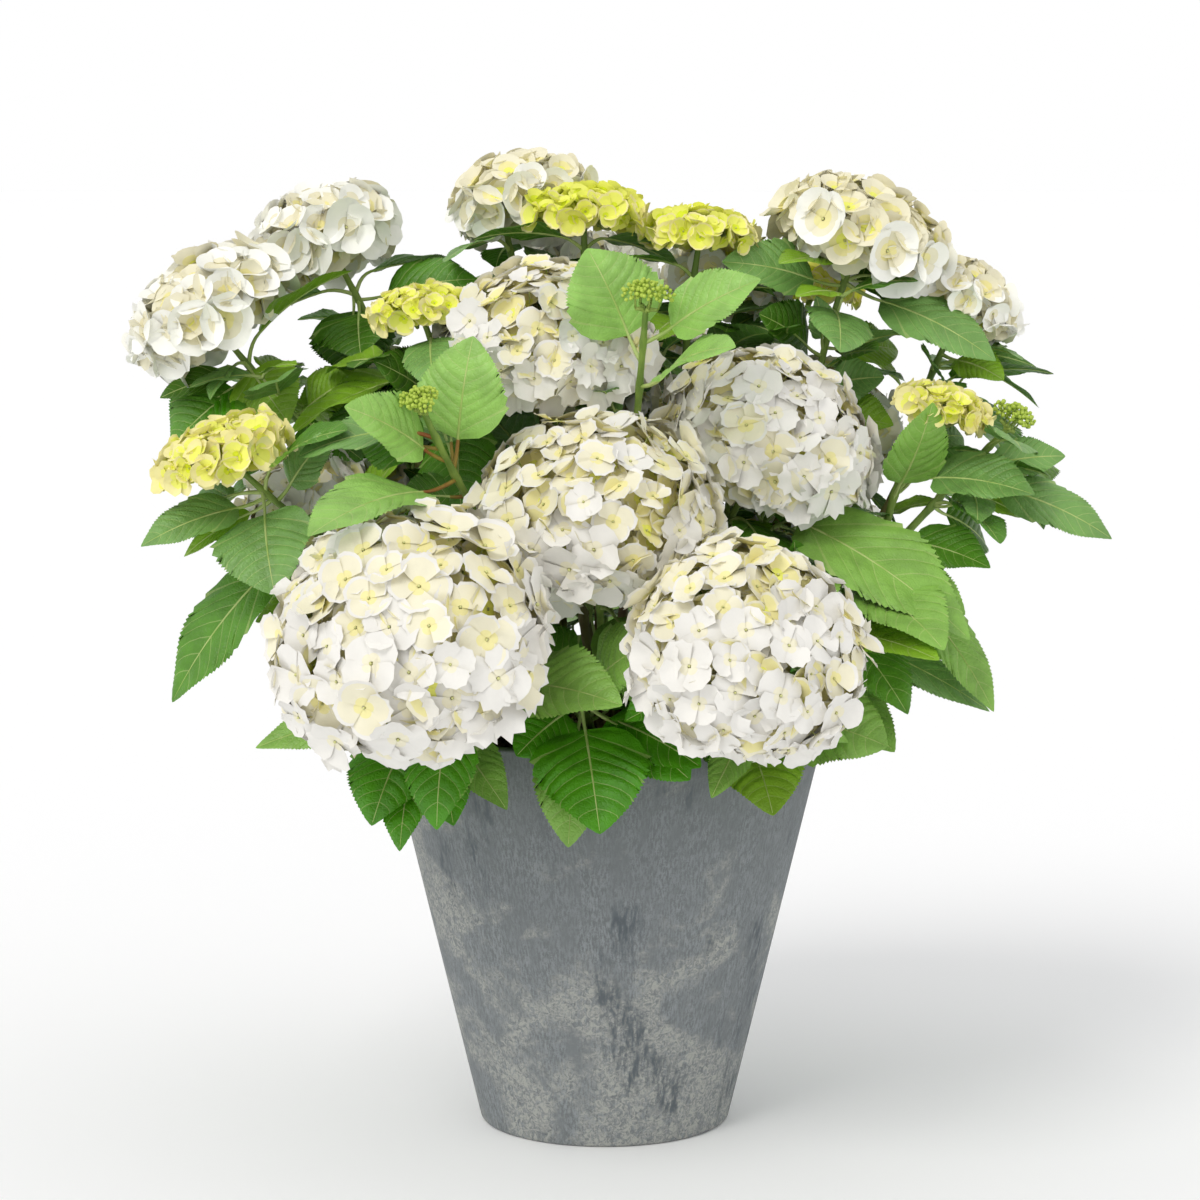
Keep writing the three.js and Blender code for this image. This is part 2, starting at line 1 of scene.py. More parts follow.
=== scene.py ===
"""A potted mophead hydrangea in flower, laid out as a Blender add-on.

Lengths are in metres, +Z is up, the front is -Y, and the origin is the centre of the pot's foot.
The plant grows by one rule: a crown in the pot carries canes, each cane ends in a fork, and from each
fork stems go on to a flower head or a tip, with pairs of leaves on the way.
"""

import math

import bpy
import numpy as np
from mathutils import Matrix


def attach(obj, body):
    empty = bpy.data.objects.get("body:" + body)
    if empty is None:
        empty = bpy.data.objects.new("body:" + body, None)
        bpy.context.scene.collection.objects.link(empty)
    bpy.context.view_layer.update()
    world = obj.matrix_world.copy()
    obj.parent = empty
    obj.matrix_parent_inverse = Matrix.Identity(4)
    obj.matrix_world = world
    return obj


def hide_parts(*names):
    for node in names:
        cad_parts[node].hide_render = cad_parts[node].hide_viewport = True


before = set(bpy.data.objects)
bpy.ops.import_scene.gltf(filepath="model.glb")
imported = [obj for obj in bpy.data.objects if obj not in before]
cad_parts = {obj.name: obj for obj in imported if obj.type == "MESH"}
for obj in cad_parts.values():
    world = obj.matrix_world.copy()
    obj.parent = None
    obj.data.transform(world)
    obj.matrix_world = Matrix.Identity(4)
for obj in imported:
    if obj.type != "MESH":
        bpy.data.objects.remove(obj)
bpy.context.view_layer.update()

bl_info = {
    "name": "Potted hydrangea",
    "version": (1, 0, 0),
    "blender": (4, 5, 0),
    "location": "3D View > Sidebar > Hydrangea",
    "description": "Grows a mophead hydrangea in its planter, with its light and camera",
    "category": "Add Mesh",
}

# ---- Driving sizes ----

POT_HEIGHT = 0.340
POT_RIM = 0.185
POT_FOOT = 0.1035
POT_WALL = 0.011
POT_FLOOR = 0.016
POT_LIP = 0.003  # the rounding of its rim and its foot
POT_SLOPE = (POT_RIM - POT_FOOT) / POT_HEIGHT
SOIL_LEVEL = 0.310
SOIL_FOOT = 0.0165
SOIL_GAP = 0.0006  # between the soil and the planter's wall
LUMP_HEIGHT = 0.0012
CROWN_FLARE = 0.040
FLARE_SHARE = 0.35  # of the crown's rows
CROWN_RIDGES = ((0.045, 9, 1.2), (0.030, 17, 0.0))  # how deep, how many, and where they start
CROWN_INSET = 0.05  # which leaves room for the ridges
KNOB_RADIUS = 0.0325
CROWN_HEIGHT = 0.044
CROWN_FOOT = SOIL_LEVEL + 0.0003
KNOB = np.array([0.0, 0.0, CROWN_FOOT + CROWN_HEIGHT - KNOB_RADIUS])

# A cane starts inside the knob, leaves it straight for a share of the way, and forks half way out.
CANE = {"foot": 0.0046, "tip": 0.0036, "seat": 0.6, "straight": 0.5, "share": 0.5}
CANE_JOINTS = {"every": 0.045, "width": 0.09, "swell": 0.22, "between": 0.95, "ridge": 0.05}
STEM = {"foot": 0.0034, "tip": 0.0024, "seat": 0.003, "straight": 0.4}
STEM_JOINTS = {"width": 0.035, "swell": 0.3}
LEAFY_STEM = {"drop": 0.005, "out": 0.5, "up": 0.25}

# How far a head rises above its widest ring and sinks below it, as shares of its radius; its florets'
# radius in a head of full width; how low they go (-1 is straight down); how far they face up rather than
# along the head's axis; and the layers of florets from the outside in: how far out a layer is, how its
# florets are spaced in floret radii, their size, their tilt, and how much warmer they are.
# The inner layers' extra warmth is partly the creamier colour of florets deep in a head, and partly a painted
# warm glow of light through the petals in the shaded gaps.
HEAD_KINDS = {
    "open": dict(
        rise=0.80, sink=0.50, floret=0.0240, full_width=0.225, low=-0.62, upright=0.0,
        layers=((0.93, 1.40, 1.02, 0.22, 0.00), (0.82, 1.10, 0.96, 0.30, 0.72)),
    ),
    "young": dict(
        rise=0.58, sink=0.48, floret=0.0200, full_width=0.148, low=-0.66, upright=0.0,
        layers=((0.87, 1.36, 1.08, 0.22, 0.00), (0.77, 1.08, 0.98, 0.28, 0.50)),
    ),
    "lime": dict(
        rise=0.44, sink=0.34, floret=0.0140, full_width=0.108, low=-0.25, upright=1.3,
        layers=((0.90, 1.32, 1.00, 0.34, 0.00), (0.73, 1.20, 0.90, 0.42, 0.30)),
    ),
    "bud": dict(sink=0.40),
}
# A bud cluster's lumps and the buds on each; how wide the lumps spread, how high their dome stands and how
# large they are, as shares of the cluster's radius; a bud's radius; and how far the cluster faces up.
BUD_CLUSTER = {
    "lumps": 7, "buds": 22, "spread": 0.78, "dome": 0.45, "lump_radius": 0.30, "bud": 0.0017, "upright": 0.6,
}
# How a lump is covered, in radii from its top down; and how far a lump stands up, a bud's way, its place
# and its size differ by chance.
BUD_COVER = 1.7
BUD_CHANCES = {"rise": (-0.06, 0.10), "way": 0.12, "radius": (0.85, 1.15), "size": (0.75, 1.2)}
HEAD_SEAT = 0.6
LEAN_POINT = np.array([0.0, 0.0, 0.250])

# The heads on the flowering canes of the front: each head's centre, width and kind.
FRONT_HEADS = {
    "front_left": [((-0.148, -0.262, 0.437), 0.228, "open")],
    "front_right": [((0.107, -0.264, 0.426), 0.194, "open")],
    "front_middle": [((-0.006, -0.166, 0.523), 0.200, "open")],
    "upper_right": [((0.129, -0.062, 0.572), 0.188, "open")],
    "upper_left": [((-0.046, -0.064, 0.648), 0.178, "open")],
    "left_side": [((-0.247, -0.040, 0.508), 0.122, "open"), ((-0.299, -0.130, 0.568), 0.108, "lime")],
    "left_outer": [((-0.327, 0.005, 0.673), 0.148, "young")],
    "left_top": [((-0.235, 0.092, 0.735), 0.134, "young"), ((-0.150, -0.060, 0.683), 0.084, "lime")],
    "top": [((-0.088, 0.104, 0.766), 0.102, "young"), ((-0.018, 0.052, 0.765), 0.110, "lime")],
    "top_right": [
        ((0.080, 0.040, 0.742), 0.098, "lime"),
        ((0.104, 0.112, 0.693), 0.108, "young"),
        ((0.180, 0.140, 0.687), 0.078, "lime"),
    ],
    "right_top": [((0.218, 0.045, 0.744), 0.148, "young")],
    "right_outer": [((0.310, 0.066, 0.684), 0.096, "young")],
    "right_side": [((0.273, -0.040, 0.602), 0.084, "lime"), ((0.333, -0.020, 0.584), 0.042, "bud")],
    "bud_left": [((-0.141, -0.205, 0.613), 0.037, "bud")],
    "bud_top": [((0.032, -0.160, 0.690), 0.044, "bud")],
}
# Forks that don't stand half way from the crown to their heads.
FORKS = {
    "right_top": (0.163, 0.035, 0.530),
    "right_outer": (0.246, 0.040, 0.530),
    "right_side": (0.226, -0.015, 0.470),
    "bud_top": (0.020, -0.040, 0.520),
}

# Rows of heads round the back: name, first azimuth, step, count, reach, height, width and kind.
BACK_ROWS = [
    ("back_low", 138, 42, 3, 0.268, 0.446, 0.178, "open"),
    ("back_middle", 122, 38, 4, 0.224, 0.566, 0.140, "open"),
    ("back_top", 184, 0, 1, 0.172, 0.690, 0.128, "young"),
]
BACK_SPREAD = {"height": 0.024, "least_width": 0.92, "width": 0.16}
# How yellow the heads of a cane are, from 0, white, to 1, and of the canes that aren't named.
HEAD_WARMTH = {
    "front_left": 0.20, "front_right": 0.21, "front_middle": 0.22, "upper_right": 0.18, "upper_left": 0.20,
    "left_outer": 0.28, "left_top": 0.24, "top": 0.36, "top_right": 0.30, "right_top": 0.64,
    "right_outer": 0.38,
}
PLAIN_WARMTH = 0.14
# Heads whose florets stand a little off their solid's place: the shoot and the head's number on it, the way
# they stand off, and their width as a share of the solid's.
MOVED_HEADS = {
    ("top", 0): ((0.020, 0.000, -0.004), 1.26),
    ("top", 1): ((0.002, -0.012, -0.014), 0.92),
    ("top_right", 0): ((-0.002, 0.000, -0.008), 1.00),
    ("right_top", 0): ((-0.004, 0.000, -0.010), 1.02),
    ("left_top", 0): ((-0.004, 0.000, -0.006), 1.02),
    ("left_top", 1): ((0.000, 0.000, -0.006), 0.96),
    ("right_side", 0): ((0.000, 0.000, -0.006), 0.94),
    ("right_outer", 0): ((-0.008, 0.000, -0.004), 1.06),
}
CANE_RINGS = [(16, 4), (46, 8), (76, 11)]  # tilt from upright in degrees, and how many canes

LEAFY_SHOOTS = {
    "front_low": (-0.021, -0.188, 0.390),
    "front_low_left": (-0.150, -0.150, 0.376),
    "front_low_right": (0.126, -0.156, 0.372),
    "right_leafy": (0.186, -0.060, 0.477),
}
BACK_LEAFY = {"first": 105, "step": 50, "count": 4, "reach": 0.138, "height": 0.384}

# Leaves that give the front its outline. A row holds which of the shoot's stems carries the leaf, how
# far along it, the leaf's tip, the blade's width, and its tone.
# Of the tones, deep is a darker copy of the green as painted shade, and bright a lighter one as painted
# light.
SHOW_LEAVES = {
    "left_top": [
        (0, 0.80, (-0.200, 0.005, 0.636), 0.076, "deep"),
        (0, 0.80, (-0.106, 0.060, 0.698), 0.060, "mid"),
        (0, 0.50, (-0.258, 0.042, 0.590), 0.064, "fresh"),
        (0, 0.30, (-0.244, 0.032, 0.568), 0.068, "mid"),
        (1, 0.45, (-0.184, -0.095, 0.640), 0.066, "deep"),
    ],
    "left_outer": [
        (0, 0.80, (-0.364, -0.010, 0.604), 0.030, "deep"),
        (0, 0.78, (-0.352, -0.025, 0.566), 0.078, "mid"),
        (0, 0.76, (-0.266, 0.045, 0.578), 0.058, "fresh"),
        (0, 0.80, (-0.256, 0.060, 0.624), 0.044, "fresh"),
    ],
    "left_side": [
        (1, 0.76, (-0.214, -0.120, 0.586), 0.046, "blue"),
        (1, 0.80, (-0.364, -0.150, 0.498), 0.050, "blue"),
        (1, 0.84, (-0.256, -0.185, 0.464), 0.082, "blue"),
        (1, 0.62, (-0.346, -0.110, 0.368), 0.066, "mid"),
        (1, 0.78, (-0.336, -0.100, 0.484), 0.026, "fresh"),
        (0, 0.45, (-0.282, -0.075, 0.428), 0.044, "fresh"),
    ],
    "bud_left": [
        (0, 0.68, (-0.198, -0.228, 0.614), 0.058, "pale"),
        (0, 0.62, (-0.102, -0.168, 0.664), 0.074, "pale"),
        (0, 0.58, (-0.220, -0.310, 0.524), 0.072, "pale"),
        (0, 0.76, (-0.192, -0.150, 0.584), 0.056, "mid"),
        (0, 0.48, (-0.162, -0.160, 0.536), 0.046, "deep"),
    ],
    "bud_top": [
        (0, 0.72, (-0.014, -0.126, 0.730), 0.084, "pale"),
        (0, 0.82, (0.120, -0.175, 0.708), 0.056, "pale"),
        (0, 0.60, (0.098, -0.246, 0.660), 0.056, "pale"),
    ],
    "right_top": [
        (0, 0.80, (0.096, 0.015, 0.714), 0.054, "blue"),
        (0, 0.82, (0.320, -0.005, 0.634), 0.064, "blue"),
        (0, 0.84, (0.242, 0.090, 0.686), 0.036, "deep"),
        (0, 0.48, (0.126, 0.005, 0.672), 0.056, "deep"),
        (0, 0.50, (0.174, 0.020, 0.686), 0.028, "blue"),
        (0, 0.52, (0.248, 0.095, 0.636), 0.044, "fresh"),
        (0, 0.44, (0.222, -0.025, 0.644), 0.048, "deep"),
        (0, 0.36, (0.232, 0.035, 0.618), 0.042, "blue"),
        (0, 0.24, (0.238, 0.010, 0.580), 0.056, "fresh"),
    ],
    "right_side": [
        (0, 0.30, (0.262, -0.080, 0.606), 0.054, "bright"),
        (0, 0.52, (0.344, -0.085, 0.532), 0.064, "blue"),
        (0, 0.75, (0.296, 0.015, 0.570), 0.040, "blue"),
        (1, 0.66, (0.378, -0.006, 0.556), 0.036, "blue"),
        (1, 0.62, (0.412, -0.045, 0.492), 0.056, "blue"),
        (1, 0.52, (0.346, 0.025, 0.502), 0.022, "fresh"),
        (1, 0.38, (0.318, 0.035, 0.478), 0.060, "deep"),
    ],
    "right_outer": [
        (0, 0.58, (0.268, 0.030, 0.634), 0.038, "blue"),
        (0, 0.68, (0.330, 0.025, 0.616), 0.044, "fresh"),
        (0, 0.72, (0.362, 0.070, 0.624), 0.016, "deep"),
    ],
    "right_leafy": [
        (0, 0.95, (0.286, -0.120, 0.440), 0.084, "bright"),
        (0, 0.72, (0.258, -0.205, 0.416), 0.062, "fresh"),
        (0, 0.80, (0.312, -0.070, 0.354), 0.044, "blue"),
        (0, 0.96, (0.152, -0.140, 0.484), 0.040, "blue"),
    ],
    "front_low": [
        (0, 0.92, (-0.004, -0.248, 0.288), 0.092, "rich"),
        (0, 0.96, (0.032, -0.235, 0.432), 0.078, "bright"),
        (0, 0.84, (0.074, -0.215, 0.334), 0.062, "rich"),
    ],
    "front_low_left": [
        (0, 0.90, (-0.166, -0.215, 0.286), 0.058, "bright"),
        (0, 0.96, (-0.158, -0.235, 0.272), 0.050, "rich"),
        (0, 0.92, (-0.076, -0.212, 0.300), 0.044, "bright"),
        (0, 0.95, (-0.276, -0.150, 0.338), 0.044, "bright"),
    ],
    "front_low_right": [
        (0, 0.85, (0.130, -0.215, 0.296), 0.072, "fresh"),
        (0, 0.94, (0.082, -0.216, 0.310), 0.034, "bright"),
        (0, 0.95, (0.220, -0.190, 0.346), 0.088, "bright"),
    ],
}

# Leaves beside the solids' own, in their reach, in the same form.
FILL_LEAVES = {
    "left_top": [(0, 0.84, (-0.209, 0.060, 0.617), 0.076, "deep")],
    "left_outer": [
        (0, 0.80, (-0.354, -0.016, 0.567), 0.076, "rich"),
        (0, 0.88, (-0.258, -0.020, 0.584), 0.064, "fresh"),
        (0, 0.56, (-0.206, -0.010, 0.620), 0.058, "fresh"),
        (0, 0.60, (-0.198, -0.020, 0.554), 0.068, "mid"),
    ],
    "upper_right": [(0, 0.90, (0.287, -0.150, 0.424), 0.096, "bright")],
    "right_leafy": [
        (0, 0.98, (0.262, -0.200, 0.423), 0.074, "bright"),
        (0, 0.88, (0.237, -0.170, 0.368), 0.066, "mid"),
        (0, 0.62, (0.227, -0.170, 0.338), 0.078, "bright"),
        (0, 0.74, (0.150, -0.120, 0.500), 0.050, "mid"),
    ],
    "front_low": [
        (0, 0.90, (-0.069, -0.199, 0.340), 0.062, "rich"),
        (0, 0.88, (0.066, -0.204, 0.322), 0.068, "rich"),
    ],
    "front_low_left": [
        (0, 0.96, (-0.180, -0.225, 0.290), 0.074, "rich"),
        (0, 0.90, (-0.122, -0.215, 0.299), 0.070, "bright"),
    ],
    "right_side": [
        (0, 0.16, (0.312, -0.060, 0.470), 0.058, "mid"),
        (0, 0.06, (0.313, -0.090, 0.357), 0.052, "bright"),
    ],
}
# Rule-grown leaves cut off so that they don't hide the front's blossom: the stem, the pair and the half.
CUT_LEAVES = {
    "bud_left": [(0, 0, 0), (0, 1, 1)],
    "bud_top": [(0, 0, 0), (0, 1, 0), (0, 1, 1)],
    "right_side": [(0, 2, 1)],
    "front_right": [(0, 2, 1)],
}

# Leaf pairs by rule: where they stand on a stem, how long their blades are, and how they hang.
PETIOLE_SHARE = 0.24
LEAF_PAIRS = {"count": 3, "first": 0.82, "step": 0.22, "length": 0.088, "growth": 0.012, "width": 0.66}
LENGTH_SPREAD = {"least": 0.88, "spread": 0.24}
PETIOLE = {"out": 0.26, "along": 0.16}
DROOP = {"least": 0.1, "spread": 0.5, "along": 0.2}
PAIR_FACING = {"outward": 0.35, "along": 0.4}
SHOW_FACING = {"side_per_m": 1.2, "forward": 0.75, "up": 0.65}
# A twig grows in an axil behind `front`; its length and its blades are shares of the leaf's blade.
TWIG = {
    "front": -0.12, "rise": 0.9, "length": 0.5, "petiole": 0.06, "blade": 0.5, "blade_spread": 0.14,
    "radii": (0.0016, 0.0011),
}
TWIG_LEAF = {"turn": 40, "beside": 1.1, "along": 0.75, "droop": 0.15, "droop_spread": 0.5, "width": 0.64}
TWIG_TONES = ("deep", "mid", "deep", "blue", "mid", "fresh")
# A rule-grown leaf's tone, low, middle and high: the height below which a row holds, and its shares so far.
# The deep tone is a darker copy of the green as painted shade, and the bright tone a lighter one as painted
# light.
TONES = (
    (0.42, ((0.50, "rich"), (1.00, "bright"))),
    (0.56, ((0.45, "mid"), (0.75, "deep"), (1.00, "bright"))),
    (math.inf, ((0.45, "blue"), (0.80, "mid"), (1.00, "fresh"))),
)
CANE_TWIG = {"seed": 400, "size": 1.1}
RETRY = {"count": 4, "turn": 23, "shrink": 0.14}
BLADE_ARCH = 0.13
TIP_REACH = 0.0006  # a leaf is there where its solid has a corner this close to its tip

# ---- Vectors, curves and seeded spread ----

UP = np.array([0.0, 0.0, 1.0])
GOLDEN_ANGLE = math.pi * (3 - math.sqrt(5))


def unit(vectors):
    """Each vector divided by its length."""
    return vectors / np.linalg.norm(vectors, axis=-1, keepdims=True)


def fan(out, turn, east, north):
    """Places round an axis, each `out` from it and at its turn from the way `east` towards `north`."""
    return (out * np.cos(turn))[:, None] * east + (out * np.sin(turn))[:, None] * north


def spread(index, series):
    """A repeatable number from 0 to 1: the fraction of index / golden ratio + series / plastic ratio + 0.5.

    Neighbouring indices and series fall far apart.
    """
    return (index * 0.61803399 + series * 0.7548777 + 0.5) % 1.0


def polar(azimuth, reach, height):
    """A place by its azimuth in degrees, 0 at the front and growing towards +X, reach and height."""
    angle = math.radians(azimuth)
    return np.array([reach * math.sin(angle), -reach * math.cos(angle), height])


def perpendicular(along, turn):
    """The unit vector square to `along`, `turn` degrees round it from the level direction."""
    level = np.cross(UP, along)
    if np.linalg.norm(level) < 0.05:
        level = np.array([1.0, 0.0, 0.0])
    level = unit(level)
    raised = unit(np.cross(along, level))
    angle = math.radians(turn)
    return math.cos(angle) * level + math.sin(angle) * raised


def on_curve(curve, share):
    """Points of quadratic Beziers: (1-t)^2 start + 2 t (1-t) bend + t^2 end."""
    start, bend, end = curve
    t = np.asarray(share, float)[..., None]
    return (1 - t) ** 2 * start + 2 * t * (1 - t) * bend + t**2 * end


def way_on_curve(curve, share):
    """Unit tangents of quadratic Beziers: (1-t) (bend - start) + t (end - bend), made unit."""
    start, bend, end = curve
    t = np.asarray(share, float)[..., None]
    return unit((1 - t) * (bend - start) + t * (end - bend))


# ---- Growing the plant by the rule of its solids ----


def place_head(at, width, kind, warmth):
    """A head's centre, the way it faces, and the point at its underside where its stem ends."""
    centre = np.array(at)
    axis = unit(centre - LEAN_POINT)
    depth = HEAD_KINDS[kind]["sink"] * width / 2
    base = centre - HEAD_SEAT * depth * axis
    return {"centre": centre, "axis": axis, "width": width, "kind": kind, "base": base, "warmth": warmth}


def placed_canes():
    """All canes with their heads and forks, the front's first and then the back rows'."""
    rows = dict(FRONT_HEADS)
    for name, first, step, count, reach, height, width, kind in BACK_ROWS:
        for i in range(count):
            at = polar(first + step * i, reach, height + BACK_SPREAD["height"] * spread(i, 1))
            wide = width * (BACK_SPREAD["least_width"] + BACK_SPREAD["width"] * spread(i, 2))
            rows[f"{name}_{i + 1}"] = [(at, wide, kind)]
    canes = []
    for name, heads in rows.items():
        placed = [place_head(*head, HEAD_WARMTH.get(name, PLAIN_WARMTH)) for head in heads]
        middle = np.mean([head["base"] for head in placed], axis=0)
        fork = np.array(FORKS.get(name, KNOB + CANE["share"] * (middle - KNOB)))
        canes.append({"name": name, "heads": placed, "fork": fork})
    place_feet(canes)
    return canes


def place_feet(canes):
    """Canes leave the knob in rings: the most upright ones inside, and each ring evenly spaced."""

    def lean(cane):
        way = unit(cane["fork"] - KNOB)
        return math.acos(way[2])

    def azimuth(cane):
        return math.degrees(math.atan2(cane["fork"][0], -cane["fork"][1]))

    waiting = sorted(canes, key=lean)
    for tilt, count in CANE_RINGS:
        members = sorted(waiting[:count], key=azimuth)
        waiting = waiting[count:]
        turn = 360 / len(members)
        start = np.mean([azimuth(cane) - i * turn for i, cane in enumerate(members)])
        for i, cane in enumerate(members):
            angle = math.radians(tilt)
            way = polar(start + i * turn, math.sin(angle), math.cos(angle))
            reach = np.linalg.norm(cane["fork"] - KNOB)
            foot = KNOB + way * KNOB_RADIUS * CANE["seat"]
            cane["curve"] = (foot, KNOB + way * reach * CANE["straight"], cane["fork"])


def head_stem(fork, head):
    """A head's stem: from its cane's tip up into the head, straight along the head's axis at the end."""
    straight = STEM["straight"] * np.linalg.norm(head["base"] - fork)
    bend = head["base"] - straight * head["axis"]
    return (fork - STEM["seat"] * unit(bend - fork), bend, head["base"])


def leafy_stem(tip):
    """A leafy shoot's stem: out of the crown's flank, then up to its tip."""
    end = np.array(tip)
    azimuth = math.degrees(math.atan2(end[0], -end[1]))
    start = polar(azimuth, KNOB_RADIUS * CANE["seat"], KNOB[2] - LEAFY_STEM["drop"])
    rise = (end[2] - KNOB[2]) * LEAFY_STEM["up"]
    bend = polar(azimuth, math.hypot(end[0], end[1]) * LEAFY_STEM["out"], KNOB[2] + rise)
    return (start, bend, end)


def show_leaf(stem, along, tip, width, tone):
    """A leaf from a stem point to a given tip, its face turned between up, forward and outward."""
    root = on_curve(stem, along)
    tip = np.array(tip)
    facing = np.array([tip[0] * SHOW_FACING["side_per_m"], -SHOW_FACING["forward"], SHOW_FACING["up"]])
    base = root + PETIOLE_SHARE * (tip - root)
    return {"root": root, "base": base, "tip": tip, "width": width, "facing": facing, "tone": tone}


def pair_leaf(stem, pair, turn, seed, shrink):
    """The leaf of a pair on one side of a stem: level, then drooping, and longer lower down."""
    along = LEAF_PAIRS["first"] - LEAF_PAIRS["step"] * pair
    root = on_curve(stem, along)
    way = way_on_curve(stem, along)
    out = perpendicular(way, turn)
    size = shrink * (LENGTH_SPREAD["least"] + LENGTH_SPREAD["spread"] * spread(seed, 4))
    length = size * (LEAF_PAIRS["length"] + LEAF_PAIRS["growth"] * pair)
    base = root + out * PETIOLE["out"] * length + way * PETIOLE["along"] * length
    droop = DROOP["least"] + DROOP["spread"] * spread(seed, 5)
    tip = base + length * unit(out + DROOP["along"] * way - droop * UP)
    level = np.array([root[0], root[1], 0.0])
    facing = PAIR_FACING["outward"] * unit(level) + UP + PAIR_FACING["along"] * way
    width = length * LEAF_PAIRS["width"]
    return {"root": root, "base": base, "tip": tip, "width": width, "facing": facing}


def axil_twigs(leaf, stem, seed):
    """A twig from the axil of a leaf, within that leaf's reach, with a pair of small leaves at its end.

    The twig goes out between the leaf and the stem; its leaves part to its left and right and droop.
    Only leaves behind the front have one, so that the front's blossom stays clear.
    """
    if leaf["tip"][1] < TWIG["front"]:
        return []
    length = np.linalg.norm(leaf["tip"] - leaf["base"])
    out = unit(leaf["tip"] - leaf["root"])
    way = unit(out + TWIG["rise"] * unit(stem[2] - stem[0]))
    end = leaf["root"] + TWIG["length"] * length * way
    curve = (leaf["root"], leaf["root"] + 0.5 * TWIG["length"] * length * out, end)
    leaves = []
    for half in (-1, 1):
        beside = half * perpendicular(way, TWIG_LEAF["turn"] * (spread(seed + 7, 3) - 0.5))
        base = end + TWIG["petiole"] * length * (beside + way)
        blade = length * (TWIG["blade"] + TWIG["blade_spread"] * spread(seed * 2 + half, 7))
        droop = TWIG_LEAF["droop"] + TWIG_LEAF["droop_spread"] * spread(seed + half, 5)
        tip = base + blade * unit(TWIG_LEAF["beside"] * beside + TWIG_LEAF["along"] * way - droop * UP)
        facing = UP + PAIR_FACING["along"] * way
        width = TWIG_LEAF["width"] * blade
        tone = TWIG_TONES[int(len(TWIG_TONES) * spread(seed * 3 + half, 8))]
        leaves.append({"root": end, "base": base, "tip": tip, "width": width, "facing": facing, "tone": tone})
    return [{"curve": curve, "leaves": leaves}]


def cane_twigs(cane, number):
    """The twigs of a cane: two pairs of joints, each with a twig and small leaves where its axil would be."""
    if cane is None:
        return []
    twigs = []
    for pair in range(2):
        for half in range(2):
            seed = CANE_TWIG["seed"] + number * 8 + pair * 2 + half
            turn = 360 * spread(number, 12) + 90 * pair + 180 * half
            twigs += axil_twigs(pair_leaf(cane, pair, turn, seed, CANE_TWIG["size"]), cane, seed)
    return twigs


def corners_of(node):
    """The corners of a node's solid."""
    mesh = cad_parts[node].data
    corners = np.empty(3 * len(mesh.vertices), np.float32)
    mesh.vertices.foreach_get("co", corners)
    return corners.reshape(-1, 3)


def tone_of(leaf, seed):
    """A rule-grown leaf's tone: rich and bright low down and in front, blue and mid high up and behind.

    The bright tone is painted light and the deep tone painted shade.
    """
    shares = next(shares for height, shares in TONES if leaf["tip"][2] < height)
    return next(tone for share, tone in shares if spread(seed, 8) < share)


def placed_leaves(shoot, table):
    """A shoot's leaves from a table of tips."""
    rows = table.get(shoot["name"], [])
    return [show_leaf(shoot["stems"][order], *leaf) for order, *leaf in rows]


def ruled_leaves(shoot, number, is_there):
    """Grows a shoot's leaves by rule where they are there, each with the twig in its axil.

    A leaf turns and shrinks in steps until it is there. The axils of a stem's top pair stay bare.
    """
    cut = CUT_LEAVES.get(shoot["name"], ())
    for order, stem in enumerate(shoot["stems"]):
        for pair, half in np.ndindex(LEAF_PAIRS["count"], 2):
            seed = number * 8 + order * 4 + pair * 2 + half
            turn = 360 * spread(number, 6) + 90 * pair + 180 * half
            tries = [
                pair_leaf(stem, pair, turn + RETRY["turn"] * retry, seed, 1 - RETRY["shrink"] * retry)
                for retry in range(RETRY["count"])
            ]
            leaf = next(filter(is_there, tries), None)
            if leaf is None:
                continue
            leaf["tone"] = tone_of(leaf, seed)
            if (order, pair, half) not in cut:
                shoot["leaves"].append(leaf)
            if pair > 0:
                shoot["twigs"] += axil_twigs(leaf, stem, seed)


def twig_leaves(shoot):
    """The small leaves of a shoot's twigs."""
    return [leaf for twig in shoot["twigs"] for leaf in twig["leaves"]]


def grown_plant():
    """The canes, and the shoots with their stems, heads and leaves, as their solids have them."""
    canes = placed_canes()
    shoots = []
    for cane in canes:
        stems = [head_stem(cane["fork"], head) for head in cane["heads"]]
        shoots.append({"name": cane["name"], "stems": stems, "heads": cane["heads"], "cane": cane["curve"]})
    tips = dict(LEAFY_SHOOTS)
    for i in range(BACK_LEAFY["count"]):
        azimuth = BACK_LEAFY["first"] + BACK_LEAFY["step"] * i
        tips[f"back_leafy_{i + 1}"] = polar(azimuth, BACK_LEAFY["reach"], BACK_LEAFY["height"])
    for name, tip in tips.items():
        shoots.append({"name": name, "stems": [leafy_stem(tip)], "heads": [], "cane": None})
    for number, shoot in enumerate(shoots):
        corners = corners_of(f"shoot_{shoot['name']}")

        def is_there(leaf):
            return np.abs(corners - leaf["tip"]).max(axis=1).min() < TIP_REACH

        shoot["twigs"] = cane_twigs(shoot["cane"], number)
        shoot["leaves"] = placed_leaves(shoot, FILL_LEAVES)
        shoot["leaves"] += filter(is_there, placed_leaves(shoot, SHOW_LEAVES))
        ruled_leaves(shoot, number, is_there)
    return canes, shoots


CANES, SHOOTS = grown_plant()

# How finely the pieces are made: the sides round them, then the steps along them.
PLANTER_ROWS = 40
SOIL_GRID = (96, 26)
CROWN_GRID = (72, 26)
CANE_STEPS = 40
STEM_STEPS = 30
RIB_SIDES = {"large": 6, "small": 4}
TWIG_GRID = (5, 6)
EYE_SIDES = 5
BUD_SIDES = 6

# ---- Meshes from grids ----


def grid_faces(rows, columns, closed=False):
    """Quads between neighbouring rows and columns of a grid, whose last column may meet its first."""
    corner = np.arange(rows * columns).reshape(rows, columns)
    if closed:
        corner = np.concatenate([corner, corner[:, :1]], axis=1)
    quads = [corner[:-1, :-1], corner[:-1, 1:], corner[1:, 1:], corner[1:, :-1]]
    return np.stack(quads, axis=-1).reshape(-1, 4)


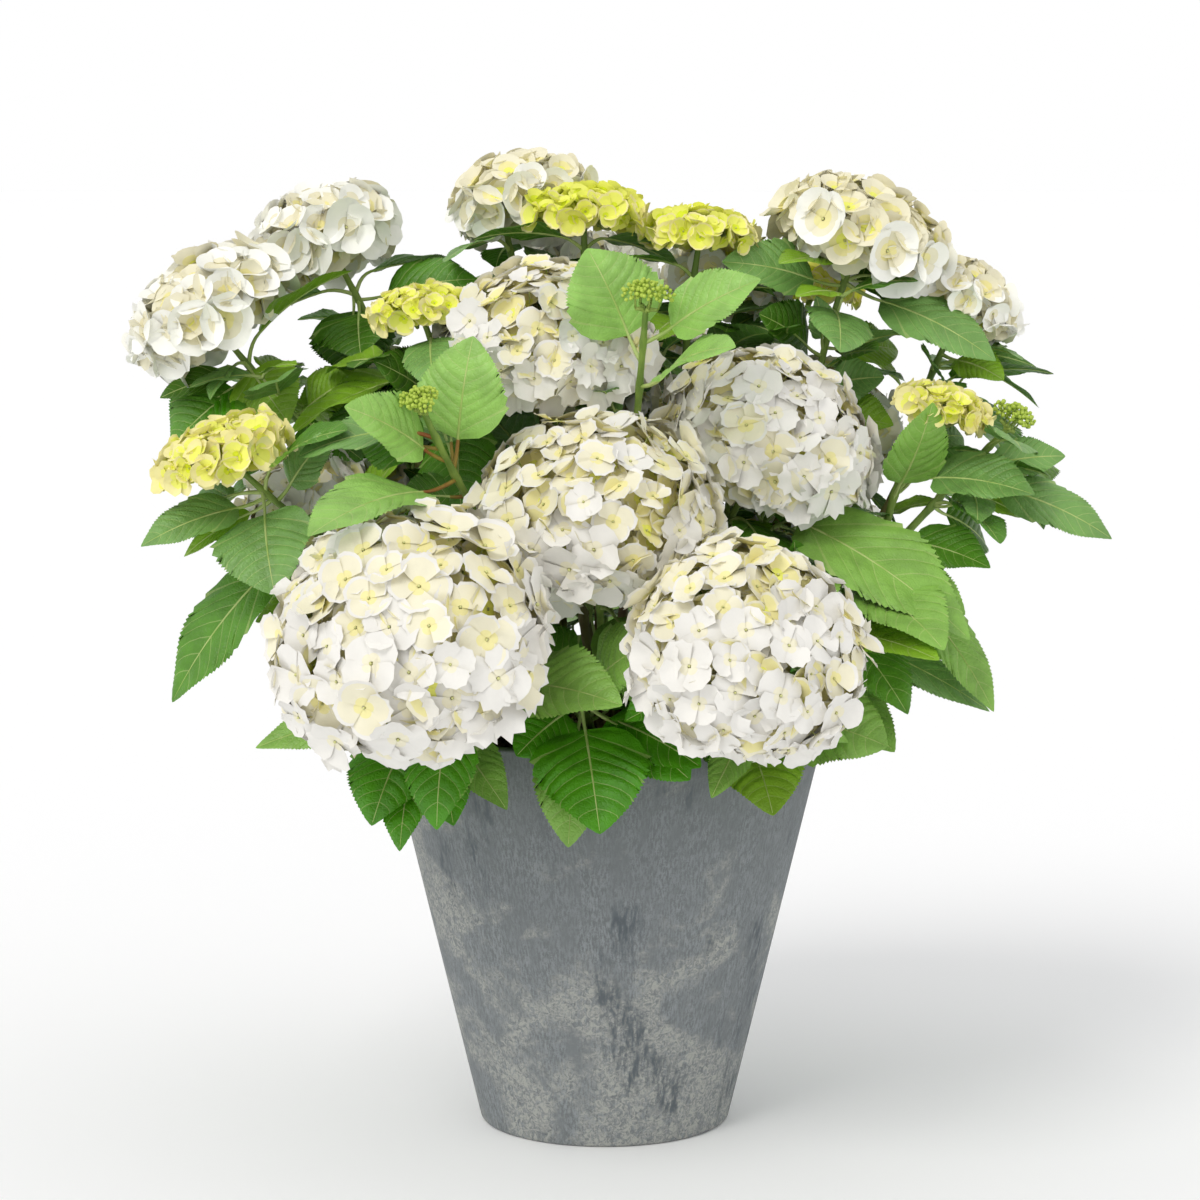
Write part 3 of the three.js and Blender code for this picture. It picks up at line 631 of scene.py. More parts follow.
class Gathering:
    """Grids of points gathered to be joined into one mesh."""

    def __init__(self):
        self.points = []
        self.faces = []
        self.slots = []
        self.count = 0

    def add(self, grids, closed=False, slots=0):
        """Adds grids of shape (..., rows, columns, 3).

        Slots are one number for all faces, one for each face, or one for each grid and face.
        """
        rows, columns = grids.shape[-3:-1]
        grids = grids.reshape(-1, rows, columns, 3)
        faces = grid_faces(rows, columns, closed)
        firsts = self.count + np.arange(len(grids)) * rows * columns
        self.points.append(grids.reshape(-1, 3))
        self.faces.append((firsts[:, None, None] + faces).reshape(-1, 4))
        self.slots.append(np.broadcast_to(slots, (len(grids), len(faces))).reshape(-1))
        self.count += len(grids) * rows * columns

    def piece(self, name, materials, slot, nodes):
        """The gathered grids as one smooth mesh object that rides on the plant's body and replaces nodes."""
        points = np.concatenate(self.points).astype(np.float32)
        faces = np.concatenate(self.faces).astype(np.int32)
        mesh = bpy.data.meshes.new(name)
        mesh.vertices.add(len(points))
        mesh.vertices.foreach_set("co", points.ravel())
        mesh.loops.add(faces.size)
        mesh.loops.foreach_set("vertex_index", faces.ravel())
        mesh.polygons.add(len(faces))
        mesh.polygons.foreach_set("loop_start", np.arange(len(faces), dtype=np.int32) * 4)
        mesh.polygons.foreach_set("material_index", np.concatenate(self.slots).astype(np.int32))
        mesh.polygons.foreach_set("use_smooth", np.ones(len(faces), bool))
        mesh.update(calc_edges=True)
        mesh.validate()
        for material in materials:
            mesh.materials.append(material)
        piece = bpy.data.objects.new(name, mesh)
        bpy.context.scene.collection.objects.link(piece)
        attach(piece, "root")
        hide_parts(*nodes)


def closed_piece(name, grids, material, slot, nodes):
    """A piece of closed limbs or shells of one form, in one material."""
    gathering = Gathering()
    gathering.add(grids, closed=True)
    gathering.piece(name, [material], slot, nodes)


def paths_on(curves, shares):
    """Paths of points at the shares along quadratic Beziers, whose three points stand on the second axis."""
    start, bend, end = np.moveaxis(np.array(curves), 1, 0)[:, :, None, :]
    return on_curve((start, bend, end), np.broadcast_to(shares, (len(start), len(shares))))


def tubes(paths, radii, sides):
    """Limbs as grids: at each step of a path, a ring of its radius square to the path, closed at both ends.

    Ring point: path + radius (cos a * level + sin a * raised), where level is square to the path and to
    the coordinate axis that the path is least along. The first and last ring are points.
    """
    way = unit(np.gradient(paths, axis=-2))
    chord = np.abs(paths[..., -1, :] - paths[..., 0, :])
    helper = np.eye(3)[np.argmin(chord, axis=-1)][..., None, :]
    level = unit(np.cross(helper, way))
    raised = np.cross(way, level)
    radii = np.broadcast_to(radii, paths.shape[:-1])
    paths, level, raised = (
        np.concatenate([rows[..., :1, :], rows, rows[..., -1:, :]], axis=-2)
        for rows in (paths, level, raised)
    )
    radii = np.concatenate([radii[..., :1] * 0, radii, radii[..., -1:] * 0], axis=-1)
    angle = -np.arange(sides) * 2 * math.pi / sides
    ring = np.cos(angle)[:, None] * level[..., None, :] + np.sin(angle)[:, None] * raised[..., None, :]
    return paths[..., None, :] + radii[..., None, None] * ring


def lathe(radii, heights, sides):
    """A grid round the Z axis: at each height a ring of its radius; radii may differ round the ring."""
    angle = np.arange(sides) * 2 * math.pi / sides
    radii = np.broadcast_to(np.asarray(radii).reshape(len(heights), -1), (len(heights), sides))
    heights = np.broadcast_to(np.asarray(heights)[:, None], radii.shape)
    return np.stack([radii * np.cos(angle), radii * np.sin(angle), heights], axis=-1)


# ---- Materials ----


def linear(red, green, blue):
    """A display colour of 0 to 255 as a linear one."""
    share = np.array([red, green, blue]) / 255
    return tuple(np.where(share < 0.04045, share / 12.92, ((share + 0.055) / 1.055) ** 2.4))


def shaded(colour, share):
    """A colour made darker, to a share of itself."""
    return tuple(share * np.array(colour))


def is_socket(value):
    """Whether a value is another node's socket."""
    return isinstance(value, bpy.types.NodeSocket)


def add_node(tree, kind, inputs, **settings):
    """A new node with its settings, and with each input linked to a socket or set to a value."""
    node = tree.nodes.new(kind)
    for name, value in settings.items():
        setattr(node, name, value)
    for name, value in inputs.items():
        if is_socket(value):
            tree.links.new(value, node.inputs[name])
        else:
            node.inputs[name].default_value = value
    return node


class Finish:
    """A material in the making: its node tree, its Principled shader and its Object coordinates."""

    def __init__(self, name, roughness, specular):
        self.material = bpy.data.materials.new(name)
        self.material.use_nodes = True
        self.tree = self.material.node_tree
        self.shader = self.tree.nodes["Principled BSDF"]
        self.shader.inputs["Roughness"].default_value = roughness
        self.shader.inputs["Specular IOR Level"].default_value = specular
        self.place = add_node(self.tree, "ShaderNodeTexCoord", {}).outputs["Object"]

    def noise(self, scale, detail, roughness=0.5, distortion=0.0, stretch=None):
        """Noise, which may be stretched along the axes."""
        place = self.place
        if stretch is not None:
            mapping = add_node(self.tree, "ShaderNodeMapping", {"Vector": place, "Scale": stretch})
            place = mapping.outputs["Vector"]
        inputs = {"Vector": place, "Scale": scale, "Detail": detail, "Roughness": roughness}
        return add_node(self.tree, "ShaderNodeTexNoise", {**inputs, "Distortion": distortion}).outputs["Fac"]

    def net(self, scale):
        """The distance to the edge of irregular cells."""
        inputs = {"Vector": self.place, "Scale": scale}
        cells = add_node(self.tree, "ShaderNodeTexVoronoi", inputs, feature="DISTANCE_TO_EDGE")
        return cells.outputs["Distance"]

    def height(self):
        """The height above the ground."""
        return add_node(self.tree, "ShaderNodeSeparateXYZ", {"Vector": self.place}).outputs["Z"]

    def ramp(self, value, low, high):
        """A value taken from 0 at low to 1 at high, and level at both."""
        inputs = {"Value": value, "From Min": low, "From Max": high}
        ramp = add_node(self.tree, "ShaderNodeMapRange", inputs, interpolation_type="SMOOTHSTEP")
        return ramp.outputs["Result"]

    def mix(self, share, first, second):
        """A colour mixed between two, each a colour or a socket, by a share."""
        first, second = (colour if is_socket(colour) else (*colour, 1.0) for colour in (first, second))
        inputs = {"Factor": share, "A": first, "B": second}
        mix = add_node(self.tree, "ShaderNodeMix", inputs, data_type="RGBA")
        return mix.outputs["Result"]

    def sum(self, value, factor, addend):
        """A value times a factor, plus a number or another value."""
        inputs = {0: value, 1: factor, 2: addend}
        node = add_node(self.tree, "ShaderNodeMath", inputs, operation="MULTIPLY_ADD")
        return node.outputs["Value"]

    def product(self, first, second):
        """Two values, or a value and a number, multiplied."""
        node = add_node(self.tree, "ShaderNodeMath", {0: first, 1: second}, operation="MULTIPLY")
        return node.outputs["Value"]

    def paint(self, colour):
        """Takes a socket for the colour of the surface."""
        self.tree.links.new(colour, self.shader.inputs["Base Color"])

    def relief(self, height, strength, distance, under=None):
        """Relief from a height on the surface, over another relief where one is given."""
        inputs = {"Height": height, "Strength": strength, "Distance": distance}
        if under is not None:
            inputs["Normal"] = under
        normal = add_node(self.tree, "ShaderNodeBump", inputs).outputs["Normal"]
        self.tree.links.new(normal, self.shader.inputs["Normal"])
        return normal


def leaf_material(name, tone):
    """A leaf's blade: its tone mottled a little darker, with a fine grain and a soft waxy gloss."""
    finish = Finish(name, 0.42, 0.45)
    mottle = finish.ramp(finish.noise(48, 4.0), 0.35, 0.7)
    finish.paint(finish.mix(mottle, tone, shaded(tone, 0.78)))
    finish.relief(finish.ramp(finish.net(260), 0.0, 0.22), 0.35, 0.0006)
    return finish.material


def petal_material(name, colour):
    """A petal: its colour with a faint cloudiness, and a fine crepe of relief."""
    finish = Finish(name, 0.62, 0.25)
    cloud = finish.ramp(finish.noise(60, 2.0), 0.3, 0.75)
    finish.paint(finish.mix(cloud, colour, shaded(colour, 0.95)))
    finish.relief(finish.noise(420, 2.0), 0.18, 0.0008)
    return finish.material


def stem_material(name, young, old):
    """Green bark: streaks of a young and an older colour along the stem, with small pores."""
    finish = Finish(name, 0.55, 0.35)
    streak = finish.ramp(finish.noise(60, 4.0, stretch=(1, 1, 0.25)), 0.4, 0.65)
    finish.paint(finish.mix(streak, young, old))
    finish.relief(finish.noise(900, 3.0), 0.3, 0.0006)
    return finish.material


def bark_material():
    """Old wood: brown and grey strips that run up the crown, with cracks between them."""
    finish = Finish("crown_bark", 0.85, 0.2)
    strip = finish.noise(120, 5.0, 0.65, stretch=(1, 1, 0.3))
    finish.paint(finish.mix(finish.ramp(strip, 0.38, 0.62), linear(74, 56, 38), linear(146, 124, 94)))
    finish.relief(strip, 0.8, 0.002)
    return finish.material


def soil_material():
    """Moist potting soil: dark crumbs, fibres a little lighter, and no gloss."""
    finish = Finish("potting_soil", 0.95, 0.15)
    crumb = finish.noise(260, 6.0, 0.7)
    finish.paint(finish.mix(finish.ramp(crumb, 0.35, 0.65), linear(34, 25, 18), linear(84, 64, 46)))
    finish.relief(crumb, 0.9, 0.003)
    return finish.material


def planter_material(base, light, dark):
    """Brushed composite: fine upright strokes, feathered light patches, more low down, and dark runs.

    Painted shade of the leaves darkens it towards the rim.
    """
    finish = Finish("planter_composite", 0.82, 0.25)
    stroke = finish.noise(620, 2.0, 0.6, stretch=(1, 1, 0.085))
    wash = finish.noise(70, 4.0, 0.6, stretch=(1, 1, 0.2))
    cloud = finish.noise(11, 5.0, 0.62, 0.4, stretch=(1, 1, 1.25))
    feather = finish.noise(200, 6.0, 0.72, 1.4)
    fleck = finish.noise(330, 4.0, 0.66, 2.6)
    run = finish.noise(24, 3.0, 0.5, 0.3, stretch=(1, 1, 0.26))
    drag = finish.noise(240, 3.0, 0.6, stretch=(1, 1, 0.10))
    grain = finish.sum(fleck, 0.45, finish.product(stroke, 0.55))
    tone = finish.mix(finish.ramp(grain, 0.40, 0.60), shaded(base, 0.74), shaded(base, 1.24))
    tone = finish.mix(finish.ramp(wash, 0.35, 0.8), tone, shaded(base, 0.86))
    low = finish.sum(finish.height(), -0.42, 0.07)
    cloudy = finish.ramp(finish.sum(cloud, 1.0, low), 0.46, 0.57)
    patch = finish.product(cloudy, finish.ramp(feather, 0.40, 0.60))
    tone = finish.mix(finish.product(patch, 0.95), tone, light)
    streak = finish.product(finish.ramp(run, 0.56, 0.66), finish.ramp(drag, 0.34, 0.66))
    tone = finish.mix(finish.product(streak, 0.95), tone, dark)
    # Painted shade: the wall darkens towards the rim, where the leaves above would shade it.
    painted_leaf_shade = finish.ramp(finish.height(), 0.20, 0.36)
    tone = finish.mix(finish.product(painted_leaf_shade, 0.5), tone, shaded(base, 0.70))
    finish.paint(tone)
    under = finish.relief(stroke, 0.3, 0.0006)
    finish.relief(feather, 0.35, 0.0010, under)
    return finish.material


# ---- Planter, soil, crown and canes ----


def planter_grid(sides, rows):
    """The planter: outer wall straight from foot to rim, round the rim, down the inner wall, over the floor.

    The outer radius at height z is foot + (rim - foot) z / height, and the inner one is less by the wall.
    """
    turn = np.linspace(0, math.pi / 2, 5)
    foot_heights = POT_LIP * (1 - np.cos(turn))
    foot_radii = POT_FOOT + POT_SLOPE * foot_heights - POT_LIP * (1 - np.sin(turn))
    wall_heights = np.linspace(POT_LIP, POT_HEIGHT - POT_LIP, rows)[1:]
    wall_radii = POT_FOOT + POT_SLOPE * wall_heights
    lip_radii = POT_RIM - POT_LIP + POT_LIP * np.cos(turn[1:])
    lip_heights = POT_HEIGHT - POT_LIP + POT_LIP * np.sin(turn[1:])
    inner_heights = np.array([POT_HEIGHT, POT_HEIGHT - POT_LIP, SOIL_LEVEL, 0.1, POT_FLOOR])
    inner_radii = POT_FOOT + POT_SLOPE * inner_heights - POT_WALL + np.array([POT_LIP, 0, 0, 0, 0])
    radii = np.concatenate([[0], foot_radii, wall_radii, lip_radii, inner_radii, [0]])
    heights = np.concatenate([[0], foot_heights, wall_heights, lip_heights, inner_heights, [POT_FLOOR]])
    return lathe(radii, heights, sides)


def soil_grid(sides, rows):
    """The soil: a plug under a lumpy top, whose height is a sum of two products of cosine waves."""
    widest_at = np.array([SOIL_FOOT + 0.0005, SOIL_LEVEL])
    bottom, top = POT_FOOT + POT_SLOPE * widest_at - POT_WALL - SOIL_GAP
    shares = np.linspace(1, 0, rows)
    radii = np.concatenate([[0, bottom], top * shares])
    heights = np.concatenate([[SOIL_FOOT, SOIL_FOOT], np.full(rows, SOIL_LEVEL)])
    grid = lathe(radii, heights, sides)
    x, y = grid[2:, :, 0], grid[2:, :, 1]
    lump = np.cos(x * 260 + 2 * np.sin(y * 90)) * np.cos(y * 230 + 1.3) + 0.6 * np.cos(x * 610 - y * 480)
    grid[2:, :, 2] += LUMP_HEIGHT * lump * (shares[:, None] > 0)
    return grid


def crown_grid(sides, rows):
    """The crown: flared at the soil, then a knob; ridges run up it, and deepen towards the soil."""
    share = np.linspace(0, 1, rows)
    flared = share / FLARE_SHARE
    flare = KNOB_RADIUS + (CROWN_FLARE - KNOB_RADIUS) * (1 - flared) ** 2
    angle = np.clip((share - FLARE_SHARE) / (1 - FLARE_SHARE), 0, 1) * math.pi / 2
    radii = np.where(flared < 1, flare, KNOB_RADIUS * np.cos(angle))
    rise = np.where(flared < 1, (flared - 1) * (KNOB[2] - CROWN_FOOT), KNOB_RADIUS * np.sin(angle))
    heights = KNOB[2] + rise
    around = np.arange(sides) * 2 * math.pi / sides
    ridge = sum(depth * np.cos(count * around + start) for depth, count, start in CROWN_RIDGES)
    radii = radii[:, None] * (1 - CROWN_INSET + ridge * (1 - share[:, None]))
    radii = np.concatenate([np.zeros((1, sides)), radii, np.zeros((1, sides))])
    heights = np.concatenate([[CROWN_FOOT], heights, [heights[-1]]])
    return lathe(radii, heights, sides)


def cane_grids(sides, steps):
    """The canes: limbs that taper, with swollen joints every few centimetres and shallow ridges between."""
    share = np.linspace(0, 1, steps)
    paths = paths_on([cane["curve"] for cane in CANES], share)
    length = np.linalg.norm(np.diff(paths, axis=1), axis=2).sum(axis=1)[:, None]
    radius = CANE["foot"] + (CANE["tip"] - CANE["foot"]) * share
    from_joint = (share * length / CANE_JOINTS["every"] + 0.5) % 1 - 0.5
    joint = np.exp(-((from_joint / CANE_JOINTS["width"]) ** 2))
    grids = tubes(paths, radius * (CANE_JOINTS["between"] + CANE_JOINTS["swell"] * joint), sides)
    middle = np.concatenate([paths[:, :1], paths, paths[:, -1:]], axis=1)[:, :, None, :]
    ridge = 1 + CANE_JOINTS["ridge"] * np.cos(np.arange(sides) * math.pi)[:, None]
    return middle + (grids - middle) * ridge


# ---- Stems, petioles and rays ----


def stem_grids(shoots, sides, steps):
    """The shoots' stems: limbs that taper, thicker where a pair of leaves sits."""
    share = np.linspace(0, 1, steps)
    paths = paths_on([stem for shoot in shoots for stem in shoot["stems"]], share)
    radius = STEM["foot"] + (STEM["tip"] - STEM["foot"]) * share
    pairs = LEAF_PAIRS["first"] - LEAF_PAIRS["step"] * np.arange(LEAF_PAIRS["count"])
    joint = np.exp(-(((share[:, None] - pairs) / STEM_JOINTS["width"]) ** 2)).max(axis=1)
    return tubes(paths, radius * (1 + STEM_JOINTS["swell"] * joint), sides)


def twig_grids(twigs, sides, steps):
    """The axil twigs: limbs on quadratic Beziers whose radius falls in a straight line."""
    paths = paths_on([twig["curve"] for twig in twigs], np.linspace(0, 1, steps))
    return tubes(paths, np.linspace(*TWIG["radii"], steps), sides)


def leaf_arrays(leaves):
    """Leaves' roots, bases, tips, sides and faces, and their midribs' curves, as arrays."""
    keys = ("root", "base", "tip", "facing")
    root, base, tip, facing = (np.array([leaf[key] for leaf in leaves]) for key in keys)
    chord = tip - base
    side = unit(np.cross(chord, facing))
    face = unit(np.cross(side, chord))
    length = np.linalg.norm(chord, axis=1)
    top = (base + tip) / 2 + face * (BLADE_ARCH * length)[:, None]
    return root, side, (base[:, None, :], top[:, None, :], tip[:, None, :])


STALK_RADII = (0.0019, 0.0014)
STALK_STEPS = 5
STALK_BEND = 0.45
RIB_RADII = (0.0013, 0.00025)
RIB_STEPS = 9
RIB_END = 0.97


def rib_grids(leaves, sides):
    """Petioles with their midribs: limbs from the stem to the blade's base, then on along its arch.

    The radius falls in a straight line along the stalk, and again along the midrib.
    """
    root, _, curve = leaf_arrays(leaves)
    count = len(leaves)
    blade = on_curve(curve, np.broadcast_to(np.linspace(0, RIB_END, RIB_STEPS), (count, RIB_STEPS)))
    base = blade[:, :1]
    way = way_on_curve(curve, np.zeros((count, 1)))
    reach = np.linalg.norm(base[:, 0] - root, axis=1)[:, None, None]
    bend = base - STALK_BEND * reach * way
    share = np.linspace(0, 1, STALK_STEPS + 1)[:-1]
    stalk = on_curve((root[:, None, :], bend, base), np.broadcast_to(share, (count, STALK_STEPS)))
    radii = np.concatenate([np.linspace(*STALK_RADII, STALK_STEPS), np.linspace(*RIB_RADII, RIB_STEPS)])
    return tubes(np.concatenate([stalk, blade], axis=1), radii, sides)


# ---- Leaves ----

# A blade's outline: how early it is widest, how round it is, and how much it is drawn in at the tip.
OUTLINE = {"widest": 0.70, "round": 0.72, "drawn_in": 0.22, "tip_power": 8}
# Side veins: where the first leaves the midrib, the stretch they all leave it in, half a vein's width, and
# how they sweep forward. Teeth: how far they lean on, the notch between them, how far they stand out, and
# where they begin and end. Relief: the fold, the swelling, the ripple and its waves, the curl and the twist.
VEINS = {"first": 0.05, "stretch": 0.854, "half_width": 0.0042, "sweep": 0.46, "power": 1.1, "base": 0.035}
TEETH = {"forward": 0.010, "notch": 0.045, "out": 0.085, "first": 0.02, "last": 0.97}
RELIEF = {
    "fold": 0.16, "swell": 0.056, "ripple": 0.045, "waves": 1.8, "curl": 0.05, "curl_spread": 0.22,
    "twist": 0.35,
}
# The swelling: how flat it is on top, where it ends towards the margin, and its first and last row. The
# ripple's two sides are out of step.
SWELL = {"flat": 0.6, "rim": 1.05, "first": 0.01, "last": 0.98}
RIPPLE_STEP = 1.4
# A blade's grid: how many pairs of side veins, the rows before them, the rows between two of them as shares
# of the gap, the rows at the tip, and the columns from edge to edge.
FINE_BLADE = dict(
    pairs=7, base=(0.0, 0.004, 0.010, 0.019, 0.031), between=(0.28, 0.5, 0.72), tip=(0.945, 0.975, 1.0),
    columns=(-1, -0.82, -0.55, -0.28, 0, 0.28, 0.55, 0.82, 1),
)
SMALL_BLADE = dict(
    pairs=5, base=(0.0, 0.010, 0.030), between=(0.5,), tip=(0.97, 1.0),
    columns=(-1, -0.72, -0.36, 0, 0.36, 0.72, 1),
)


def blade_rows(form):
    """Where a blade's rows leave the midrib, and whether the strip after each row is a vein."""
    step = VEINS["stretch"] / form["pairs"]
    rows = list(form["base"])
    is_vein = [False] * len(rows)
    for pair in range(form["pairs"]):
        at = VEINS["first"] + step * pair
        rows += [at - VEINS["half_width"], at + VEINS["half_width"]]
        rows += [at + share * step for share in form["between"]]
        is_vein += [True, False] + [False] * len(form["between"])
    rows += form["tip"]
    is_vein += [False] * (len(form["tip"]) - 1)
    return np.array(rows), np.array(is_vein), step


def blade_half_width(along):
    """Half a blade's width as a share of its full width: broad below the middle, drawn out to a tip."""
    along = np.clip(along, 0, 1)
    drawn_in = OUTLINE["drawn_in"] * along ** OUTLINE["tip_power"]
    return 0.5 * np.sin(math.pi * along ** OUTLINE["widest"]) ** OUTLINE["round"] * (1 - drawn_in)


def blade_grids(leaves, seeds, form):
    """Blades: rows follow the side veins out to the margin, columns run from base to tip.

    A point leaves the midrib at `row` and, at the share s across, stands further along it by
    sweep |s|^power (1 - exp(-row / base)) (1 - row), and s * half width beside it. Its height is a fold up
    from the midrib, swellings between the veins, a ripple along the margin and a curl across. Odd rows stand
    out at the margin as teeth.
    """
    rows, _, step = blade_rows(form)
    _, side, curve = leaf_arrays(leaves)
    count = len(leaves)
    width = np.array([leaf["width"] for leaf in leaves])[:, None, None]
    row, across = np.meshgrid(rows, np.array(form["columns"]), indexing="ij")
    out = np.abs(across)
    is_inside = (row > TEETH["first"]) * (row < TEETH["last"])
    tooth = (np.arange(len(rows)) % 2 == 1)[:, None] * (out == 1) * (row > TEETH["first"])
    swept = VEINS["sweep"] * out ** VEINS["power"] * (1 - np.exp(-row / VEINS["base"])) * (1 - row)
    along = row + swept + TEETH["forward"] * tooth * is_inside
    half = blade_half_width(along) * (1 - TEETH["notch"] * (out == 1) + TEETH["out"] * tooth)
    between = np.abs(np.sin(math.pi * (rows - VEINS["first"]) / step))[:, None] ** SWELL["flat"]
    swell = between * 4 * out * (SWELL["rim"] - out) * (row > SWELL["first"]) * (row < SWELL["last"])
    seeds = np.asarray(seeds)
    phase, curling, turning = (spread(seeds, series)[:, None, None] for series in (9, 10, 11))
    waves = np.sin(2 * math.pi * (RELIEF["waves"] * along + phase) + RIPPLE_STEP * np.sign(across))
    curl = (RELIEF["curl"] - RELIEF["curl_spread"] * curling) * out**2
    ripple = 2 * RELIEF["ripple"] * waves * out**2
    height = width * half * (RELIEF["fold"] * out + RELIEF["swell"] * swell + ripple + curl)
    grid_along = np.broadcast_to(along.reshape(1, -1), (count, along.size))
    middle = on_curve(curve, grid_along)
    way = way_on_curve(curve, grid_along)
    face = np.cross(side[:, None, :], way).reshape(count, *along.shape, 3)
    twist = RELIEF["twist"] * (turning - 0.5) * along
    beside = (width * half * across)[..., None]
    across_way = side[:, None, None, :] + twist[..., None] * face
    return middle.reshape(count, *along.shape, 3) + beside * across_way + height[..., None] * face


# ---- Florets ----


FLORET_SHRINK = (0.78, 1.0)  # the least and the most, in a narrower head
SKIRT_LIFT = 0.20
CROWDING = 1.15  # above 1, florets stand closer at a head's top than at its skirt
DOME_AREA = 0.82  # of a ball's, as a head is flatter
CELL_AREA = 0.87  # what a floret takes up, in squares of the spacing
FLORET_DEPTH = (0.91, 1.03)  # how far in or out of its layer a floret may stand
HANG_LEVEL = 0.3  # how far the hanging florets still face down
WARMTH_LAW = {"by_height": 1.1, "spread": 0.13}
SIZE_LAW = {"middle": 1.04, "by_height": -0.20, "least": 0.80, "most": 1.14}
RUFFLE_LAW = {"middle": 0.85, "by_height": -0.75, "least": 0.4, "most": 1.5}


def floret_radius(head):
    """A floret's radius in a head: its kind's, and smaller in a narrower head."""
    kind = HEAD_KINDS[head["kind"]]
    return kind["floret"] * float(np.clip(head["width"] / kind["full_width"], *FLORET_SHRINK))


def numbered_heads():
    """Each shoot's name, each of its heads, moved where a move is given, and the head's number."""
    number = 0
    for shoot in SHOOTS:
        for order, head in enumerate(shoot["heads"]):
            number += 1
            shift, share = MOVED_HEADS.get((shoot["name"], order), ((0, 0, 0), 1))
            centre = head["centre"] + np.array(shift)
            yield shoot["name"], {**head, "centre": centre, "width": head["width"] * share}, number


def dome_places(head, layer):
    """A layer's places on a head's dome: unit points by the golden angle, the points in space, outward ways.

    The dome is a ball's point (x, y, z) times the radius, with z further scaled by rise above the widest
    ring and by sink below it; the outward way is the gradient of that shape, turned level where it hangs.
    Points under the centre are raised by a share of how low they are, so that the hanging petals end there.
    """
    kind = HEAD_KINDS[head["kind"]]
    share, spacing, size, _, _ = kind["layers"][layer]
    radius = head["width"] / 2 * share
    pitch = floret_radius(head) * spacing * size
    area = 2 * math.pi * radius**2 * (1 - kind["low"]) * DOME_AREA
    count = max(8, round(area / (CELL_AREA * pitch**2)))
    index = np.arange(count)
    z = 1 - (1 - kind["low"]) * ((index + 0.5) / count) ** CROWDING
    level = np.sqrt(1 - z**2)
    turn = index * GOLDEN_ANGLE + 2 * layer
    ball = np.stack([level * np.cos(turn), level * np.sin(turn), z], axis=1)
    flat = np.where(z > 0, kind["rise"], kind["sink"])
    axis = unit(head["axis"] + kind["upright"] * UP)
    east = perpendicular(axis, 0)
    basis = np.stack([east, np.cross(axis, east), axis])
    squash = np.stack([np.ones(count), np.ones(count), flat], axis=1)
    places = radius * (ball * squash) @ basis
    places[:, 2] *= 1 - SKIRT_LIFT * np.clip(-places[:, 2] / radius, 0, 1)
    hang = np.stack([np.ones(count), np.ones(count), np.where(z > 0, 1, HANG_LEVEL)], axis=1)
    return ball, places, unit((ball / squash * hang) @ basis)


def head_florets(head, layer, draw):
    """A layer's florets: their centres, ways, sizes, ruffle and warmth, each a little off by chance.

    Size and ruffle grow in a straight line from the head's top down to its skirt.
    """
    kind = HEAD_KINDS[head["kind"]]
    _, _, size, tilt, warmer = kind["layers"][layer]
    ball, places, ways = dome_places(head, layer)
    count = len(places)
    centres = head["centre"] + places * draw.uniform(*FLORET_DEPTH, (count, 1))
    tilted = unit(ways + draw.normal(0, tilt, (count, 3)))
    height = ball[:, 2]
    chance = draw.uniform(SIZE_LAW["least"], SIZE_LAW["most"], count)
    sizes = floret_radius(head) * size * chance * (SIZE_LAW["middle"] + SIZE_LAW["by_height"] * height)
    ruffle = RUFFLE_LAW["middle"] + RUFFLE_LAW["by_height"] * height
    ruffle = np.clip(ruffle, RUFFLE_LAW["least"], RUFFLE_LAW["most"])
    # Inner layers are warmer: partly their own cream, and partly a painted warm glow in the shaded gaps.
    warmth = head["warmth"] * (1 + WARMTH_LAW["by_height"] * ways[:, 2]) + warmer
    warmth += draw.normal(0, WARMTH_LAW["spread"], count)
    return centres, tilted, sizes, ruffle, warmth


def bud_places(head, draw):
    """A bud cluster: lumps by the golden angle on a low dome, each a ball of buds by the same angle."""
    axis = unit(head["axis"] + BUD_CLUSTER["upright"] * UP)
    east = perpendicular(axis, 0)
    north = np.cross(axis, east)
    reach = head["width"] / 2
    lump = np.arange(BUD_CLUSTER["lumps"])
    out = reach * BUD_CLUSTER["spread"] * np.sqrt(lump / BUD_CLUSTER["lumps"])
    rise = BUD_CLUSTER["dome"] * (1 - (out / reach) ** 2) + draw.uniform(*BUD_CHANCES["rise"], len(lump))
    lumps = head["centre"] + fan(out, lump * GOLDEN_ANGLE, east, north) + (reach * rise)[:, None] * axis
    bud = np.arange(BUD_CLUSTER["buds"])
    z = 1 - BUD_COVER * (bud + 0.5) / len(bud)
    level = np.sqrt(1 - z**2)
    ways = fan(level, bud * GOLDEN_ANGLE, east, north) + z[:, None] * axis
    ways = unit(ways + draw.normal(0, BUD_CHANCES["way"], (len(lump), len(bud), 3)))
    chance = draw.uniform(*BUD_CHANCES["radius"], (len(lump), len(bud), 1))
    radius = BUD_CLUSTER["lump_radius"] * reach * chance
    centres = (lumps[:, None, :] + radius * ways).reshape(-1, 3)
    sizes = BUD_CLUSTER["bud"] * draw.uniform(*BUD_CHANCES["size"], len(centres))
    return centres, ways.reshape(-1, 3), sizes


PETAL_ROWS = np.array([0.07, 0.34, 0.64, 0.87, 1.0])
PETAL_SLOPE = 0.08
PETAL_FOLD = 0.05
# How far petals differ by chance: their size, their spread, the number and the place of their waves, their
# lift, and the way they point.
PETAL_CHANCES = {
    "size": (0.92, 1.10), "turn": (0.94, 1.06), "waves": (1.2, 2.4), "phase": (0, 2), "lift": (-0.14, 0.14),
    "heading": (-0.07, 0.07),
}
